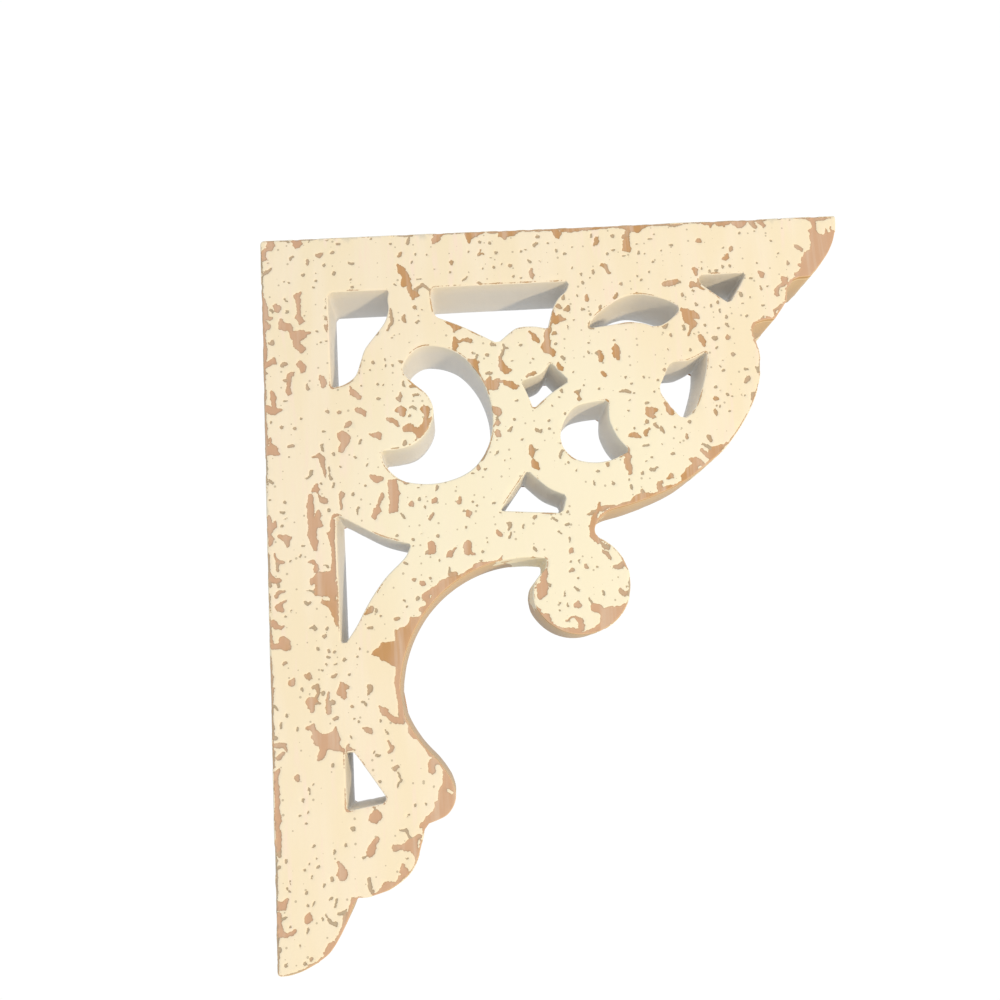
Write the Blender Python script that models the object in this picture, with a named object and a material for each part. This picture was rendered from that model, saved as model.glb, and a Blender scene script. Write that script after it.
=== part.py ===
"""Wooden corbel bracket.

One board, sawn to a scrolled outline and pierced with eleven openings. It stands in
the XZ plane: the wall edge is at x = 0 and faces -X, the shelf edge is on top and
faces +Z, and the decorated faces look along -Y and +Y. The origin is at the middle
of the wall edge. Lengths are in metres.
"""

import math

import bmesh
import bpy
import numpy as np

# Driving sizes of the board
HEIGHT = 0.305          # wall edge, from the shelf edge down to the foot
PROJECTION = 0.2612     # shelf edge, from the wall out to the nose
THICKNESS = 0.0318      # between the two decorated faces
STILE_WIDTH = 0.0290    # plain upright strip beside the wall edge
RAIL_DEPTH = 0.0259     # plain strip under the shelf edge
ARRIS = 0.0006          # sanded flat between a face and a sawn wall

# How finely a curve is faceted: a facet turns at most this angle, and a gentle curve
# has at least this many facets for each height of the board that it runs
FACET_TURN = math.radians(11.0)
FACETS_PER_HEIGHT = 44
SAMPLES_PER_SPAN = 24

# A corner's rounding uses up at most this share of the line on either side of it
MOST_CUT_BACK = 0.45

PAINT_COLOUR = (0.93, 0.78, 0.56, 1.0)
PAINT_ROUGHNESS = 0.72


def arc(across, down, radius, start, end, count):
    """Points on a circle of the sheet. Angles in degrees, 0 to the right, 90 up."""
    angles = np.radians(np.linspace(start, end, count))
    return [(across + radius * math.cos(a), down - radius * math.sin(a)) for a in angles]


# The fret pattern is drawn on a sheet of squares, and stretched to the driving sizes.
# Every line below holds its points as (across, down), in squares from the corner where
# the wall edge meets the shelf edge. Two numbers are a point that a smooth line runs
# through. Three numbers are a corner, the last one its radius.

def outer_outline():
    """The sawn outside, from the shelf edge round by the nose to the foot."""
    nose = [(261.2, 0.0, 1.3), (260.9, 5.0), (259.3, 11.5), (256.2, 17.6),
            (251.8, 23.2), (245.9, 29.2, 1.2)]
    step = [(240.6, 29.5), (236.3, 31.2, 1.8), (234.7, 35.2), (234.2, 39.9, 0.8),
            (231.5, 43.5), (227.3, 48.7, 1.0), (222.5, 48.9), (217.3, 50.4, 2.0),
            (216.6, 54.0), (217.6, 58.0)]
    drum = [(218.4, 64.0), (217.8, 72.0), (215.3, 81.0), (210.8, 90.0), (204.6, 98.8),
            (197.4, 107.0), (188.5, 113.9), (178.5, 120.3), (167.0, 125.0),
            (154.5, 128.8), (145.0, 131.0)]
    neck = [(140.6, 134.2), (138.2, 138.2), (138.7, 141.8, 1.5)]
    ball = arc(129.9, 161.2, 21.4, 57.0, -160.0, 12)
    hook = [(110.1, 160.6), (112.8, 156.4), (116.1, 153.0, 1.2), (116.4, 149.5, 1.0)]
    cove = arc(106.6, 202.6, 54.0, 88.0, 181.0, 8)
    knee = [(55.0, 212.4), (60.6, 221.9), (67.6, 230.0), (71.8, 237.2), (72.8, 243.9),
            (69.2, 249.9), (59.9, 253.5, 1.0)]
    scallop = [(58.8, 257.6), (57.6, 262.6), (54.0, 269.8), (47.6, 275.0),
               (40.0, 278.1), (31.0, 279.0, 1.2)]
    foot = [(28.8, 285.0), (25.2, 291.8), (20.4, 298.2), (13.0, 302.4), (6.0, 304.6),
            (0.0, 305.0, 2.0)]
    return ([(0.0, 0.0, 2.4)] + nose + step + drum + neck + ball + hook + cove + knee
            + scallop + foot)


def openings():
    """The eleven sawn openings, each a closed line, from the shelf edge downwards.

    Those beside the wall strip start on the stile line, and those under the shelf strip
    on the rail line.
    """
    stile = 29.0
    rail = 25.9
    return {
        "corner_window": [
            (stile, rail, 2.2), (55.8, rail, 0.9), (54.9, 30.5),
            (55.2, 34.6), (53.6, 40.4), (49.4, 46.2), (44.2, 52.8), (41.8, 59.2),
            (39.6, 64.8), (35.0, 68.3), (stile, 69.8, 1.2)],
        "rail_window": [
            (74.2, rail, 2.4), (136.2, rail, 2.2), (134.2, 30.4), (130.4, 33.8),
            (127.4, 39.2), (125.0, 47.7, 1.2), (119.0, 46.3), (111.3, 46.6),
            (106.6, 49.6), (102.2, 53.2, 1.0), (96.5, 49.9), (87.0, 44.5),
            (75.4, 39.3, 1.4), (74.5, 33.0)],
        "leaf": [
            (143.2, 48.2, 0.9), (145.4, 44.0), (151.6, 39.0), (158.4, 35.2),
            (165.9, 33.6), (174.0, 35.2), (181.0, 38.1), (184.2, 41.2), (180.4, 45.8),
            (173.2, 49.2), (168.8, 47.6), (161.5, 46.3), (152.4, 47.4)],
        "rail_eye": [
            (194.8, rail, 1.8), (216.6, rail, 2.2), (207.4, 40.0, 1.8),
            (195.4, 30.2, 1.4)],
        "crescent": [
            (49.0, 99.0, 1.2), (56.6, 98.6), (63.6, 96.6), (69.6, 90.8), (72.5, 82.4),
            (70.2, 75.0), (64.4, 69.4), (60.1, 63.8), (62.6, 57.6), (68.4, 53.3),
            (76.0, 53.4), (84.4, 57.0), (91.4, 64.6), (96.2, 75.2), (97.8, 87.0),
            (95.0, 99.6), (88.0, 109.0), (78.6, 113.4), (67.4, 114.5), (56.8, 111.9),
            (50.4, 105.0)],
        "keyhole": [
            (111.2, 71.2, 1.0), (120.6, 68.0), (124.8, 63.4, 1.2), (132.4, 72.2, 1.4),
            (124.2, 77.2), (115.8, 83.9, 1.3), (113.4, 76.4)],
        "drop": [
            (148.8, 82.0, 1.6), (148.2, 90.4), (151.0, 98.4), (156.0, 104.9, 1.3),
            (147.5, 108.7), (139.0, 109.2), (131.4, 106.7), (126.6, 99.4),
            (128.4, 91.0), (133.4, 84.6), (140.0, 82.6)],
        "almond": [
            (194.6, 62.0, 1.5), (193.8, 68.7), (190.6, 78.7), (185.9, 88.4),
            (181.0, 91.6), (175.6, 85.4), (172.0, 78.2), (174.4, 72.6),
            (178.2, 66.6), (186.0, 65.8)],
        "wedge": [
            (111.0, 111.2, 1.2), (119.4, 119.3), (127.0, 123.2, 1.4),
            (124.6, 130.5, 1.1), (110.7, 129.2), (98.2, 128.0, 1.3)],
        "stile_window": [
            (stile, 125.4, 1.4), (37.6, 130.4), (48.0, 136.3), (59.8, 140.0, 1.2),
            (57.4, 145.0), (49.0, 153.0), (41.6, 162.6), (35.6, 173.0),
            (30.9, 179.6, 1.0), (stile, 178.6, 1.0)],
        "foot_window": [
            (stile, 223.0, 1.0), (32.6, 223.0, 0.8), (38.0, 231.0),
            (44.8, 241.4, 1.3), (44.2, 243.5, 0.9), (36.0, 244.5),
            (stile, 245.5, 1.2)],
    }


def smooth_span(before, start, end, after):
    """One span of a centripetal Catmull-Rom curve, densely sampled, without its end."""
    knots = [0.0]
    for p, q in ((before, start), (start, end), (end, after)):
        knots.append(knots[-1] + math.sqrt(np.linalg.norm(q - p)))
    t = np.linspace(knots[1], knots[2], SAMPLES_PER_SPAN, endpoint=False)[:, None]

    def blend(p, q, low, high):
        return ((high - t) * p + (t - low) * q) / (high - low)

    a = blend(before, start, knots[0], knots[1])
    b = blend(start, end, knots[1], knots[2])
    c = blend(end, after, knots[2], knots[3])
    return blend(blend(a, b, knots[0], knots[2]), blend(b, c, knots[1], knots[3]),
                 knots[1], knots[2])


def smooth_run(points):
    """A smooth line through points; a run of two points stays straight."""
    points = [np.array(p[:2], float) for p in points]
    if len(points) == 2:
        return np.array(points)
    ends = [2 * points[0] - points[1]] + points + [2 * points[-1] - points[-2]]
    spans = [smooth_span(*ends[i:i + 4]) for i in range(len(points) - 1)]
    return np.vstack(spans + [points[-1][None]])


def cut_back(line, length):
    """Drop the first part of a line up to a distance along it from its start."""
    steps = np.linalg.norm(np.diff(line, axis=0), axis=1)
    walked = np.concatenate([[0.0], np.cumsum(steps)])
    length = min(length, MOST_CUT_BACK * walked[-1])
    start = [np.interp(length, walked, line[:, i]) for i in (0, 1)]
    return np.vstack([[start], line[walked > length]])


def facet(line, longest):
    """Keep the points of a dense line at which it has turned, or run, far enough."""
    if len(line) == 2:
        return line
    step = np.diff(line, axis=0)
    length = np.linalg.norm(step, axis=1)
    heading = np.unwrap(np.arctan2(step[:, 1], step[:, 0]))
    turn = np.abs(np.diff(heading, prepend=heading[0]))
    effort = turn / FACET_TURN + length / longest
    total = np.concatenate([[0.0], np.cumsum(effort)])
    count = max(1, math.ceil(total[-1]))
    wanted = np.linspace(0.0, total[-1], count + 1)
    return np.array([[np.interp(w, total, line[:, i]) for i in (0, 1)] for w in wanted])


def rounded(corner, arriving, leaving):
    """A corner's curve: it leaves one line's end and bends to the next line's start."""
    t = np.linspace(0.0, 1.0, SAMPLES_PER_SPAN)[:, None]
    return (1 - t) ** 2 * arriving + 2 * t * (1 - t) * corner + t ** 2 * leaving


def closed_line(points, longest):
    """A closed outline of the sheet: smooth between its corners, each one rounded.

    No facet on a curve is longer than the length that is given.
    """
    corners = [i for i, p in enumerate(points) if len(p) == 3]
    runs = []
    for here, there in zip(corners, corners[1:] + [corners[0] + len(points)]):
        run = smooth_run([points[i % len(points)] for i in range(here, there + 1)])
        run = cut_back(run, points[here][2])
        runs.append(cut_back(run[::-1], points[there % len(points)][2])[::-1])
    pieces = []
    for number, run in enumerate(runs):
        corner = np.array(points[corners[number]][:2])
        bend = rounded(corner, runs[number - 1][-1], run[0])
        pieces += [facet(bend, longest)[:-1], facet(run, longest)[:-1]]
    return np.vstack(pieces)


def pattern():
    """The outline and the openings, stretched to the board, as x and z in metres.

    The outline's own reach on the sheet becomes the projection and the height. The
    openings' nearest edges become the stile's width and the rail's depth.
    """
    longest = max(point[1] for point in outer_outline()) / FACETS_PER_HEIGHT
    outline = closed_line(outer_outline(), longest)
    windows = [closed_line(points, longest) for points in openings().values()]
    reach = outline.max(axis=0)
    edge = np.vstack(windows).min(axis=0)

    def on_board(line):
        across = np.interp(line[:, 0], (0.0, edge[0], reach[0]),
                           (0.0, STILE_WIDTH, PROJECTION))
        down = np.interp(line[:, 1], (0.0, edge[1], reach[1]),
                         (0.0, RAIL_DEPTH, HEIGHT))
        return np.column_stack([across, HEIGHT / 2 - down])

    return on_board(outline), [on_board(window) for window in windows]


def turned(line, anticlockwise):
    """The same closed line, run the way round that is asked for."""
    x, z = line.T
    area = np.sum(x * np.roll(z, -1) - np.roll(x, -1) * z)
    return line if (area > 0) == anticlockwise else line[::-1]


def set_in(line, distance):
    """Move a closed line to its left, into the wood, by mitred steps."""
    before = line - np.roll(line, 1, axis=0)
    after = np.roll(line, -1, axis=0) - line
    before /= np.linalg.norm(before, axis=1)[:, None]
    after /= np.linalg.norm(after, axis=1)[:, None]
    left = np.column_stack([-(before + after)[:, 1], (before + after)[:, 0]])
    left /= np.linalg.norm(left, axis=1)[:, None]
    across_step = np.column_stack([-before[:, 1], before[:, 0]])
    stretch = np.sum(left * across_step, axis=1)
    return line + left * (distance / stretch)[:, None]


def ring(bm, line, y):
    """A closed ring of vertices at one depth through the board."""
    return [bm.verts.new((x, y, z)) for x, z in line]


def bridge(bm, first, second):
    """Quads between two rings. Returns the second ring's edges."""
    count = len(first)
    for i in range(count):
        j = (i + 1) % count
        bm.faces.new((first[i], first[j], second[j], second[i]))
    return [bm.edges.get((second[i], second[(i + 1) % count])) for i in range(count)]


def build_board():
    """The pierced board as one closed mesh, with sanded arrises on both faces."""
    outline, windows = pattern()
    lines = [turned(outline, True)] + [turned(window, False) for window in windows]
    half = THICKNESS / 2
    bm = bmesh.new()
    front_edges = []
    back_edges = []
    for line in lines:
        rings = [ring(bm, set_in(line, ARRIS), -half), ring(bm, line, -half + ARRIS),
                 ring(bm, line, half - ARRIS), ring(bm, set_in(line, ARRIS), half)]
        for first, second in zip(rings, rings[1:]):
            last_edges = bridge(bm, first, second)
        back_edges += last_edges
        front_edges += [bm.edges.get((a, b)) for a, b in
                        zip(rings[0], rings[0][1:] + rings[0][:1])]
    bmesh.ops.triangle_fill(bm, edges=front_edges, use_beauty=True, normal=(0, -1, 0))
    bmesh.ops.triangle_fill(bm, edges=back_edges, use_beauty=True, normal=(0, 1, 0))
    bmesh.ops.recalc_face_normals(bm, faces=bm.faces)
    mesh = bpy.data.meshes.new("corbel_board")
    bm.to_mesh(mesh)
    bm.free()
    mesh.shade_smooth()
    mesh.set_sharp_from_angle(angle=math.radians(30.0))
    return mesh


def chalk_paint():
    """Cream chalk paint over pine."""
    material = bpy.data.materials.new("cream_chalk_paint")
    material.use_nodes = True
    shader = material.node_tree.nodes["Principled BSDF"]
    shader.inputs["Base Color"].default_value = PAINT_COLOUR
    shader.inputs["Roughness"].default_value = PAINT_ROUGHNESS
    shader.inputs["Metallic"].default_value = 0.0
    material.diffuse_color = PAINT_COLOUR
    return material


def main():
    for old in list(bpy.data.objects):
        bpy.data.objects.remove(old, do_unlink=True)
    mesh = build_board()
    mesh.materials.append(chalk_paint())
    board = bpy.data.objects.new("corbel_board", mesh)
    bpy.context.scene.collection.objects.link(board)


main()
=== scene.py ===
# %% [markdown]
# # A worn, painted corbel bracket
# The real thing is a fretwork bracket: one board, sawn to a scrolled outline, pierced
# with eleven openings, painted in a cream chalk paint and worn back to the pine at its
# edges and in hundreds of small chips. The frame that is loaded here already holds the
# board at its true size. This lesson dresses it: the same outline again, but with soft
# arrises, a paint film that stands proud of the bare wood, and the finish of both.

# %% Load the frame
import math

import bpy
import numpy as np
from mathutils import Matrix, Vector
from mathutils.geometry import delaunay_2d_cdt


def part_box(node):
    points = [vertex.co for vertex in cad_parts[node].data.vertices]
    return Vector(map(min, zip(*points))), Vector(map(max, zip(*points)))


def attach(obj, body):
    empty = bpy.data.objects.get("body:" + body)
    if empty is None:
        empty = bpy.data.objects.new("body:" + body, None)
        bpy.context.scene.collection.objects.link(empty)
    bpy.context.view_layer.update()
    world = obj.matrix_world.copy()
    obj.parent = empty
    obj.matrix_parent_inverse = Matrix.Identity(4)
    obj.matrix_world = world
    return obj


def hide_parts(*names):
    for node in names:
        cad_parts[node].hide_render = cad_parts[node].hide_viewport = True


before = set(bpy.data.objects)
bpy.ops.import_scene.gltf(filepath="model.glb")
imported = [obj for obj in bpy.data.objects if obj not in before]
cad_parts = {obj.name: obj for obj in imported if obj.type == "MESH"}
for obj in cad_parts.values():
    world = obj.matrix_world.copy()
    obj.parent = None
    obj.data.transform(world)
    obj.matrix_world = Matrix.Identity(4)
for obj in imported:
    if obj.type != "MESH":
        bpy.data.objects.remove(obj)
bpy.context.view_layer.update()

low, high = (np.array(corner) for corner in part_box("corbel_board"))
print("board, in mm:", np.round((high - low) * 1000, 1))

# %% [markdown]
# ## The saw lines
# Every wall of the board follows a line that was drawn on the wood and sawn. Those
# lines are already in the frame's solid, as the rings of points where a sanded arris
# meets a sawn wall. Reading them from there, and not drawing them again, keeps the
# dressed board on the solid everywhere.
#
# All work on the pattern is done in millimetres, with x across from the wall edge and
# z up from the middle of the board.

# %% Read the rings
MM = 1000.0

cad_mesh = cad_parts["corbel_board"].data
places = np.empty(len(cad_mesh.vertices) * 3)
cad_mesh.vertices.foreach_get("co", places)
corners = np.empty(len(cad_mesh.polygons) * 3, int)
cad_mesh.polygons.foreach_get("vertices", corners)
places, merged = np.unique(np.round(places.reshape(-1, 3) * MM, 3), axis=0,
                           return_inverse=True)
triangles = merged.reshape(-1)[corners].reshape(-1, 3)

THICKNESS = float(np.ptp(places[:, 1]))
HALF = THICKNESS / 2
depths = np.unique(np.abs(places[:, 1]))
ARRIS = HALF - float(depths[depths < HALF - 0.1].max())
print("thickness", round(THICKNESS, 2), "and arris", round(ARRIS, 2), "mm")


def ring_steps(places, triangles):
    """Which ring vertex follows which: the front edges of the triangles on the walls."""
    ring_depth = HALF - ARRIS
    on_wall = np.isclose(np.abs(places[triangles][:, :, 1]), ring_depth, atol=0.02)
    walls = triangles[on_wall.all(axis=1)]
    steps = np.vstack([walls[:, [0, 1]], walls[:, [1, 2]], walls[:, [2, 0]]])
    steps = steps[(places[steps][:, :, 1] < 0).all(axis=1)]
    follower = np.arange(len(places))
    follower[steps[:, 0]] = steps[:, 1]
    return follower


def follow(start, follower):
    """The ring through one vertex: a walk along it is doubled until it comes round."""
    walk = np.array([start])
    while start not in walk[1:]:
        walk = np.concatenate([walk, follower[walk]])
        follower = follower[follower]
    return walk[:1 + np.flatnonzero(walk[1:] == start)[0]]


follower = ring_steps(places, triangles)
waiting = np.flatnonzero(follower != np.arange(len(places)))
saw_lines = []
while len(waiting):
    ring = follow(waiting[0], follower)
    saw_lines.append(places[ring][:, [0, 2]])
    waiting = np.setdiff1d(waiting, ring)
saw_lines.sort(key=lambda line: -np.ptp(line[:, 0]))
print(len(saw_lines), "saw lines, of", [len(line) for line in saw_lines], "points")

# %% [markdown]
# The solid's lines are made of straight facets, which show as flats on a curve. Chaikin's
# corner cutting rounds them: each side keeps the points a quarter and three quarters
# along it, and what lies between is cut off. A straight run stays straight, which a
# spline through the same points would not promise.

# %% Smooth the saw lines
PITCH = 1.25                 # longest step along a line, in mm
TURN = math.radians(16.0)    # a step is shorter where it would turn more than this


def corner_cut(line):
    """Chaikin's rule: every side keeps its quarter point and its three quarter point."""
    after = np.roll(line, -1, axis=0)
    return np.stack([0.75 * line + 0.25 * after, 0.25 * line + 0.75 * after],
                    axis=1).reshape(-1, 2)


def evenly(line):
    """Space points along a closed line by effort: length over pitch plus turn over TURN."""
    step = np.roll(line, -1, axis=0) - line
    heading = np.arctan2(step[:, 1], step[:, 0])
    turn = np.abs((np.roll(heading, -1) - heading + math.pi) % (2 * math.pi) - math.pi)
    effort = np.linalg.norm(step, axis=1) / PITCH + turn / TURN
    walked = np.concatenate([[0.0], np.cumsum(effort)])
    wanted = np.linspace(0.0, walked[-1], math.ceil(walked[-1]), endpoint=False)
    closed = np.vstack([line, line[:1]])
    return np.column_stack([np.interp(wanted, walked, column) for column in closed.T])


def inward(line):
    """Unit steps to the left of the run, which is into the wood on every saw line."""
    run = np.roll(line, -1, axis=0) - np.roll(line, 1, axis=0)
    run /= np.linalg.norm(run, axis=1)[:, None]
    return np.column_stack([-run[:, 1], run[:, 0]])


outer = saw_lines[0]
if np.sum(outer[:, 0] * np.roll(outer[:, 1], -1) - np.roll(outer[:, 0], -1) * outer[:, 1]) < 0:
    saw_lines = [line[::-1] for line in saw_lines]
saw_lines = [evenly(corner_cut(corner_cut(line))) for line in saw_lines]
lefts = [inward(line) for line in saw_lines]
print("smoothed to", sum(len(line) for line in saw_lines), "points")

# %% [markdown]
# ## Randomness that stays put
# Paint chips, brush marks and wavering edges all need numbers that look random and are
# the same on each run. Value noise gives both: a table of random values is laid on a
# lattice by a fixed rule, and between the lattice points the values are blended.

# %% Value noise
TABLE = np.random.default_rng(1889).uniform(-1.0, 1.0, 4096)
STRIDES = (1619, 31337, 6971)


def noise(points, size, seed=0, kinked=False):
    """Values from -1 to 1, with one bump for every size mm, at points in rows.

    Each point takes the lattice values round it, weighted along each axis by the
    smooth step 3t^2 - 2t^3 of its place in the cell, or by the place itself if kinked.
    """
    scaled = np.asarray(points, float) / size + 57.3 * seed
    cell = np.floor(scaled).astype(np.int64)
    place = scaled - cell
    weight = place if kinked else place * place * (3.0 - 2.0 * place)
    total = np.zeros(len(scaled))
    for corner in np.ndindex(*(2,) * scaled.shape[1]):
        share = np.ones(len(scaled))
        code = np.full(len(scaled), 7919 * (seed + 1))
        for axis, side in enumerate(corner):
            share = share * (weight[:, axis] if side else 1.0 - weight[:, axis])
            code = code + (cell[:, axis] + side) * STRIDES[axis]
        code = (code ^ (code >> 7)) * 2654435761
        total += share * TABLE[(code >> 9) & 4095]
    return total


# %% [markdown]
# ## Where the paint has gone
# Wear is what tells this bracket's story, so it is drawn mark by mark and not left to chance.
# All the marks below are in millimetres: x across from the wall edge, and down from the
# shelf edge. A stroke is a run of (across, down, half width), like a brush of bare wood
# that swells and thins. A fleck is (across, down, width, height). A patch is a closed
# run of (across, down). An island is a stroke of paint left standing inside bare wood.

# %% Larger chips on the front
STROKES_TOP = (
    # at the corner of the wall and the shelf
    (5, .5, 1.2, 4.6, 2.5, 1.4, 4.4, 4.6, .8), (4.4, 4.4, .7, 2, 5, .9, 1, 6, 1.3, 1, 8.2, 1.3),
    (9, 0, .5, 12, .3, .6, 12.5, 1.3, .5), (15.2, 1, 1.4, 17, 1, 1.4, 16.2, 2.7, 1.5, 15.5, 4.4, .3),
    (19.5, 0, .5, 23, .3, .4, 21.8, 1.8, .3), (25.2, 7.9, .7, 26, 8, .9, 27.2, 7.4, .6),
    (14.2, 8.4, .6, 13.2, 8.8, .7, 12.8, 10, .4), (20, 10.4, .4, 20.6, 11.4, .8, 21, 12.6, .4),
    (4.2, 13.4, .5, 2.2, 15, .8, .5, 16.3, .5),
    # along the shelf edge
    (60.5, 0, .4, 64, .3, .7, 68, .3, .6), (66, 1.5, .6, 65.6, 3.2, .7, 65, 4.3, .6),
    (76.8, .2, .7, 79.4, .6, 1.6, 81, .4, 1.1), (78.6, 2, 1.5, 77, 3.4, 1.1, 76.6, 4.6, .6),
    (82, .1, .5, 89, .2, .4), (91.6, .6, .8, 93, 2, 1.5, 93, 4.2, .7, 92.8, 5.2, .4),
    (93, 1.4, 1.6, 96, 1.2, 1.5, 99, .4, .9), (107.6, .6, 1.2, 108, 2, 1.6, 108.6, 3.4, 1.1),
    (108.6, 1.4, 1.8, 112, 1.2, 1.6, 114, .8, 1), (115, .4, .5, 121, .6, .5),
    (97, .1, .6, 107, .2, .8, 121, .3, .8, 129, .4, .9, 145, .4, 1, 153, .3, 1, 164, .3, 1, 175, .2, .8,
     184, .1, .5), (130.6, .6, .9, 132, 2.2, 1.4, 132.8, 4, 1.2, 133.8, 3, 1.2),
    (135, .6, 1, 138, .8, 1.4, 142, .8, 1.3, 145, .8, 1.1, 147, 1, 1, 150, 1.2, 1, 153, .6, .8),
    (163.6, .8, .8, 166, 1.4, 1.4, 169, 2.2, 1.8, 171, 1.4, 1.4, 174, .7, .8),
    (164.6, 3.4, 1, 164, 5.4, .8, 162.4, 6, .7),
    (164, 7, .9, 163.6, 9, 1.6, 163, 11, 1.7, 164.6, 11.4, 1.3),
    (176, .4, .4, 185, 1.2, .6, 188.2, .6, .8, 192, .6, .6, 195, .4, .4),
    (199.5, .3, .5, 200, .6, .9, 203.4, 1, 1.2, 203, 2.6, .6), (206, .6, .7, 208.8, 1.6, 1.4, 211, 1, 1),
    (213.4, .8, 1, 216, 2, 1.7, 218, 1.2, 1.4), (220.4, .6, .7, 222, 2, 1, 223.2, 3.4, .8),
    (224.6, .6, .7, 226.4, 1.8, 1, 227.4, 3.2, 1.1), (197, .2, .7, 212, .2, .9, 222, .3, .9, 229, .2, .6),
    (246, .5, .6, 249.4, .9, 1, 252, 1, .9, 256, .8, .7, 260, .2, .5),
    # between the shelf edge and the windows under it
    (61.8, 9, .9, 61, 10.2, .5), (60.6, 15, .8, 61.6, 17, 1.7, 63, 18.4, .9, 63.8, 20, .9),
    (64, 21.5, 1.6, 63.4, 23, 1.5, 62, 24, .9),
    (64.8, 23, 1, 65.4, 27.4, 1.2, 66.4, 28.6, 1.8, 67.8, 28.5, 1.3), (66.4, 29, 1.4, 66, 30.8, .8),
    (68, 26.6, .8, 69.4, 25.6, .5, 71.4, 24.4, .6, 73, 25.8, .5, 74.2, 27.6, .6),
    (74.2, 27.6, .6, 75.6, 26.4, .5),
    (97.6, 8.8, .4, 97.4, 10, .4, 96.8, 11.2, .9, 98.6, 10.8, .5, 99, 11.4, .4),
    (88.8, 22.8, .5, 90, 22, .6, 91, 21.2, .3), (95.9, 24.6, .8, 96.4, 25.4, .8),
    (121.8, 8.2, .7, 123.4, 7.6, .5), (119.5, 19.4, .5, 119.6, 21.4, 1.1, 119.8, 23, .9, 120.2, 24, .5),
    (147.9, 3.8, .4, 147.8, 4.8, .4), (150.2, 5.8, .9, 150.2, 7.2, 1, 149.2, 8.9, .5),
    (152, 18.6, .8, 153.2, 19.4, 1, 153.6, 20.8, .5, 153.8, 22.6, .8, 154.9, 23.1, .5),
    (157, 32.6, .4, 156.8, 34, .4, 155.8, 34.8, .9), (143.2, 33.8, .9, 143.5, 35, 1.1),
    (195.8, 9.8, .5, 197, 9.2, 1.1), (208.9, 16.6, .5, 208.4, 18, 1.2, 207.2, 18.2, .7),
    (192.4, 22.9, .6, 193.3, 23.6, 1.2, 193.6, 25.4, .7),
    (178.8, 29.6, .8, 181, 29.2, 1.1, 183.4, 28.6, 1.1, 184.6, 27.4, .8),
    (184, 28.2, .7, 186.4, 28.8, .4),
    (190.6, 31, .9, 191.4, 29.6, 1.1, 193, 30.6, .9, 194.6, 31, .8, 196, 33.2, .5),
    (194.8, 29.6, .9, 194.8, 28, .7), (222.2, 26.2, .6, 223.4, 27, 1.1), (222.4, 32.6, .4, 222.4, 34, .8),
    (204.8, 49.6, .6, 205.8, 50.6, .5), (241.2, 13.4, .5, 242, 15, 1, 243.2, 16, .8),
    (236.3, 21, .3, 236.3, 22.4, .8), (232.8, 29, .9, 233.8, 30.4, 1.5, 234.4, 31.8, 1.1),
    (233, 32.4, 1.1, 231, 33.4, .9, 229.6, 35, 1, 229.2, 37.2, .9), (234, 38.6, .8, 233.6, 39.4, .7),
    (232, 43, .6, 230.4, 43, 1, 229, 43.8, .6, 227, 44.4, .6, 227, 46.4, .5, 229.4, 46, .4),
    (228.4, 47.4, .5, 226, 49.2, .5), (222, 47.2, .6, 220.8, 48.4, .8),
    (217.2, 51, .7, 216.8, 53.5, .6, 217.4, 57, .5),
)
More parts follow.
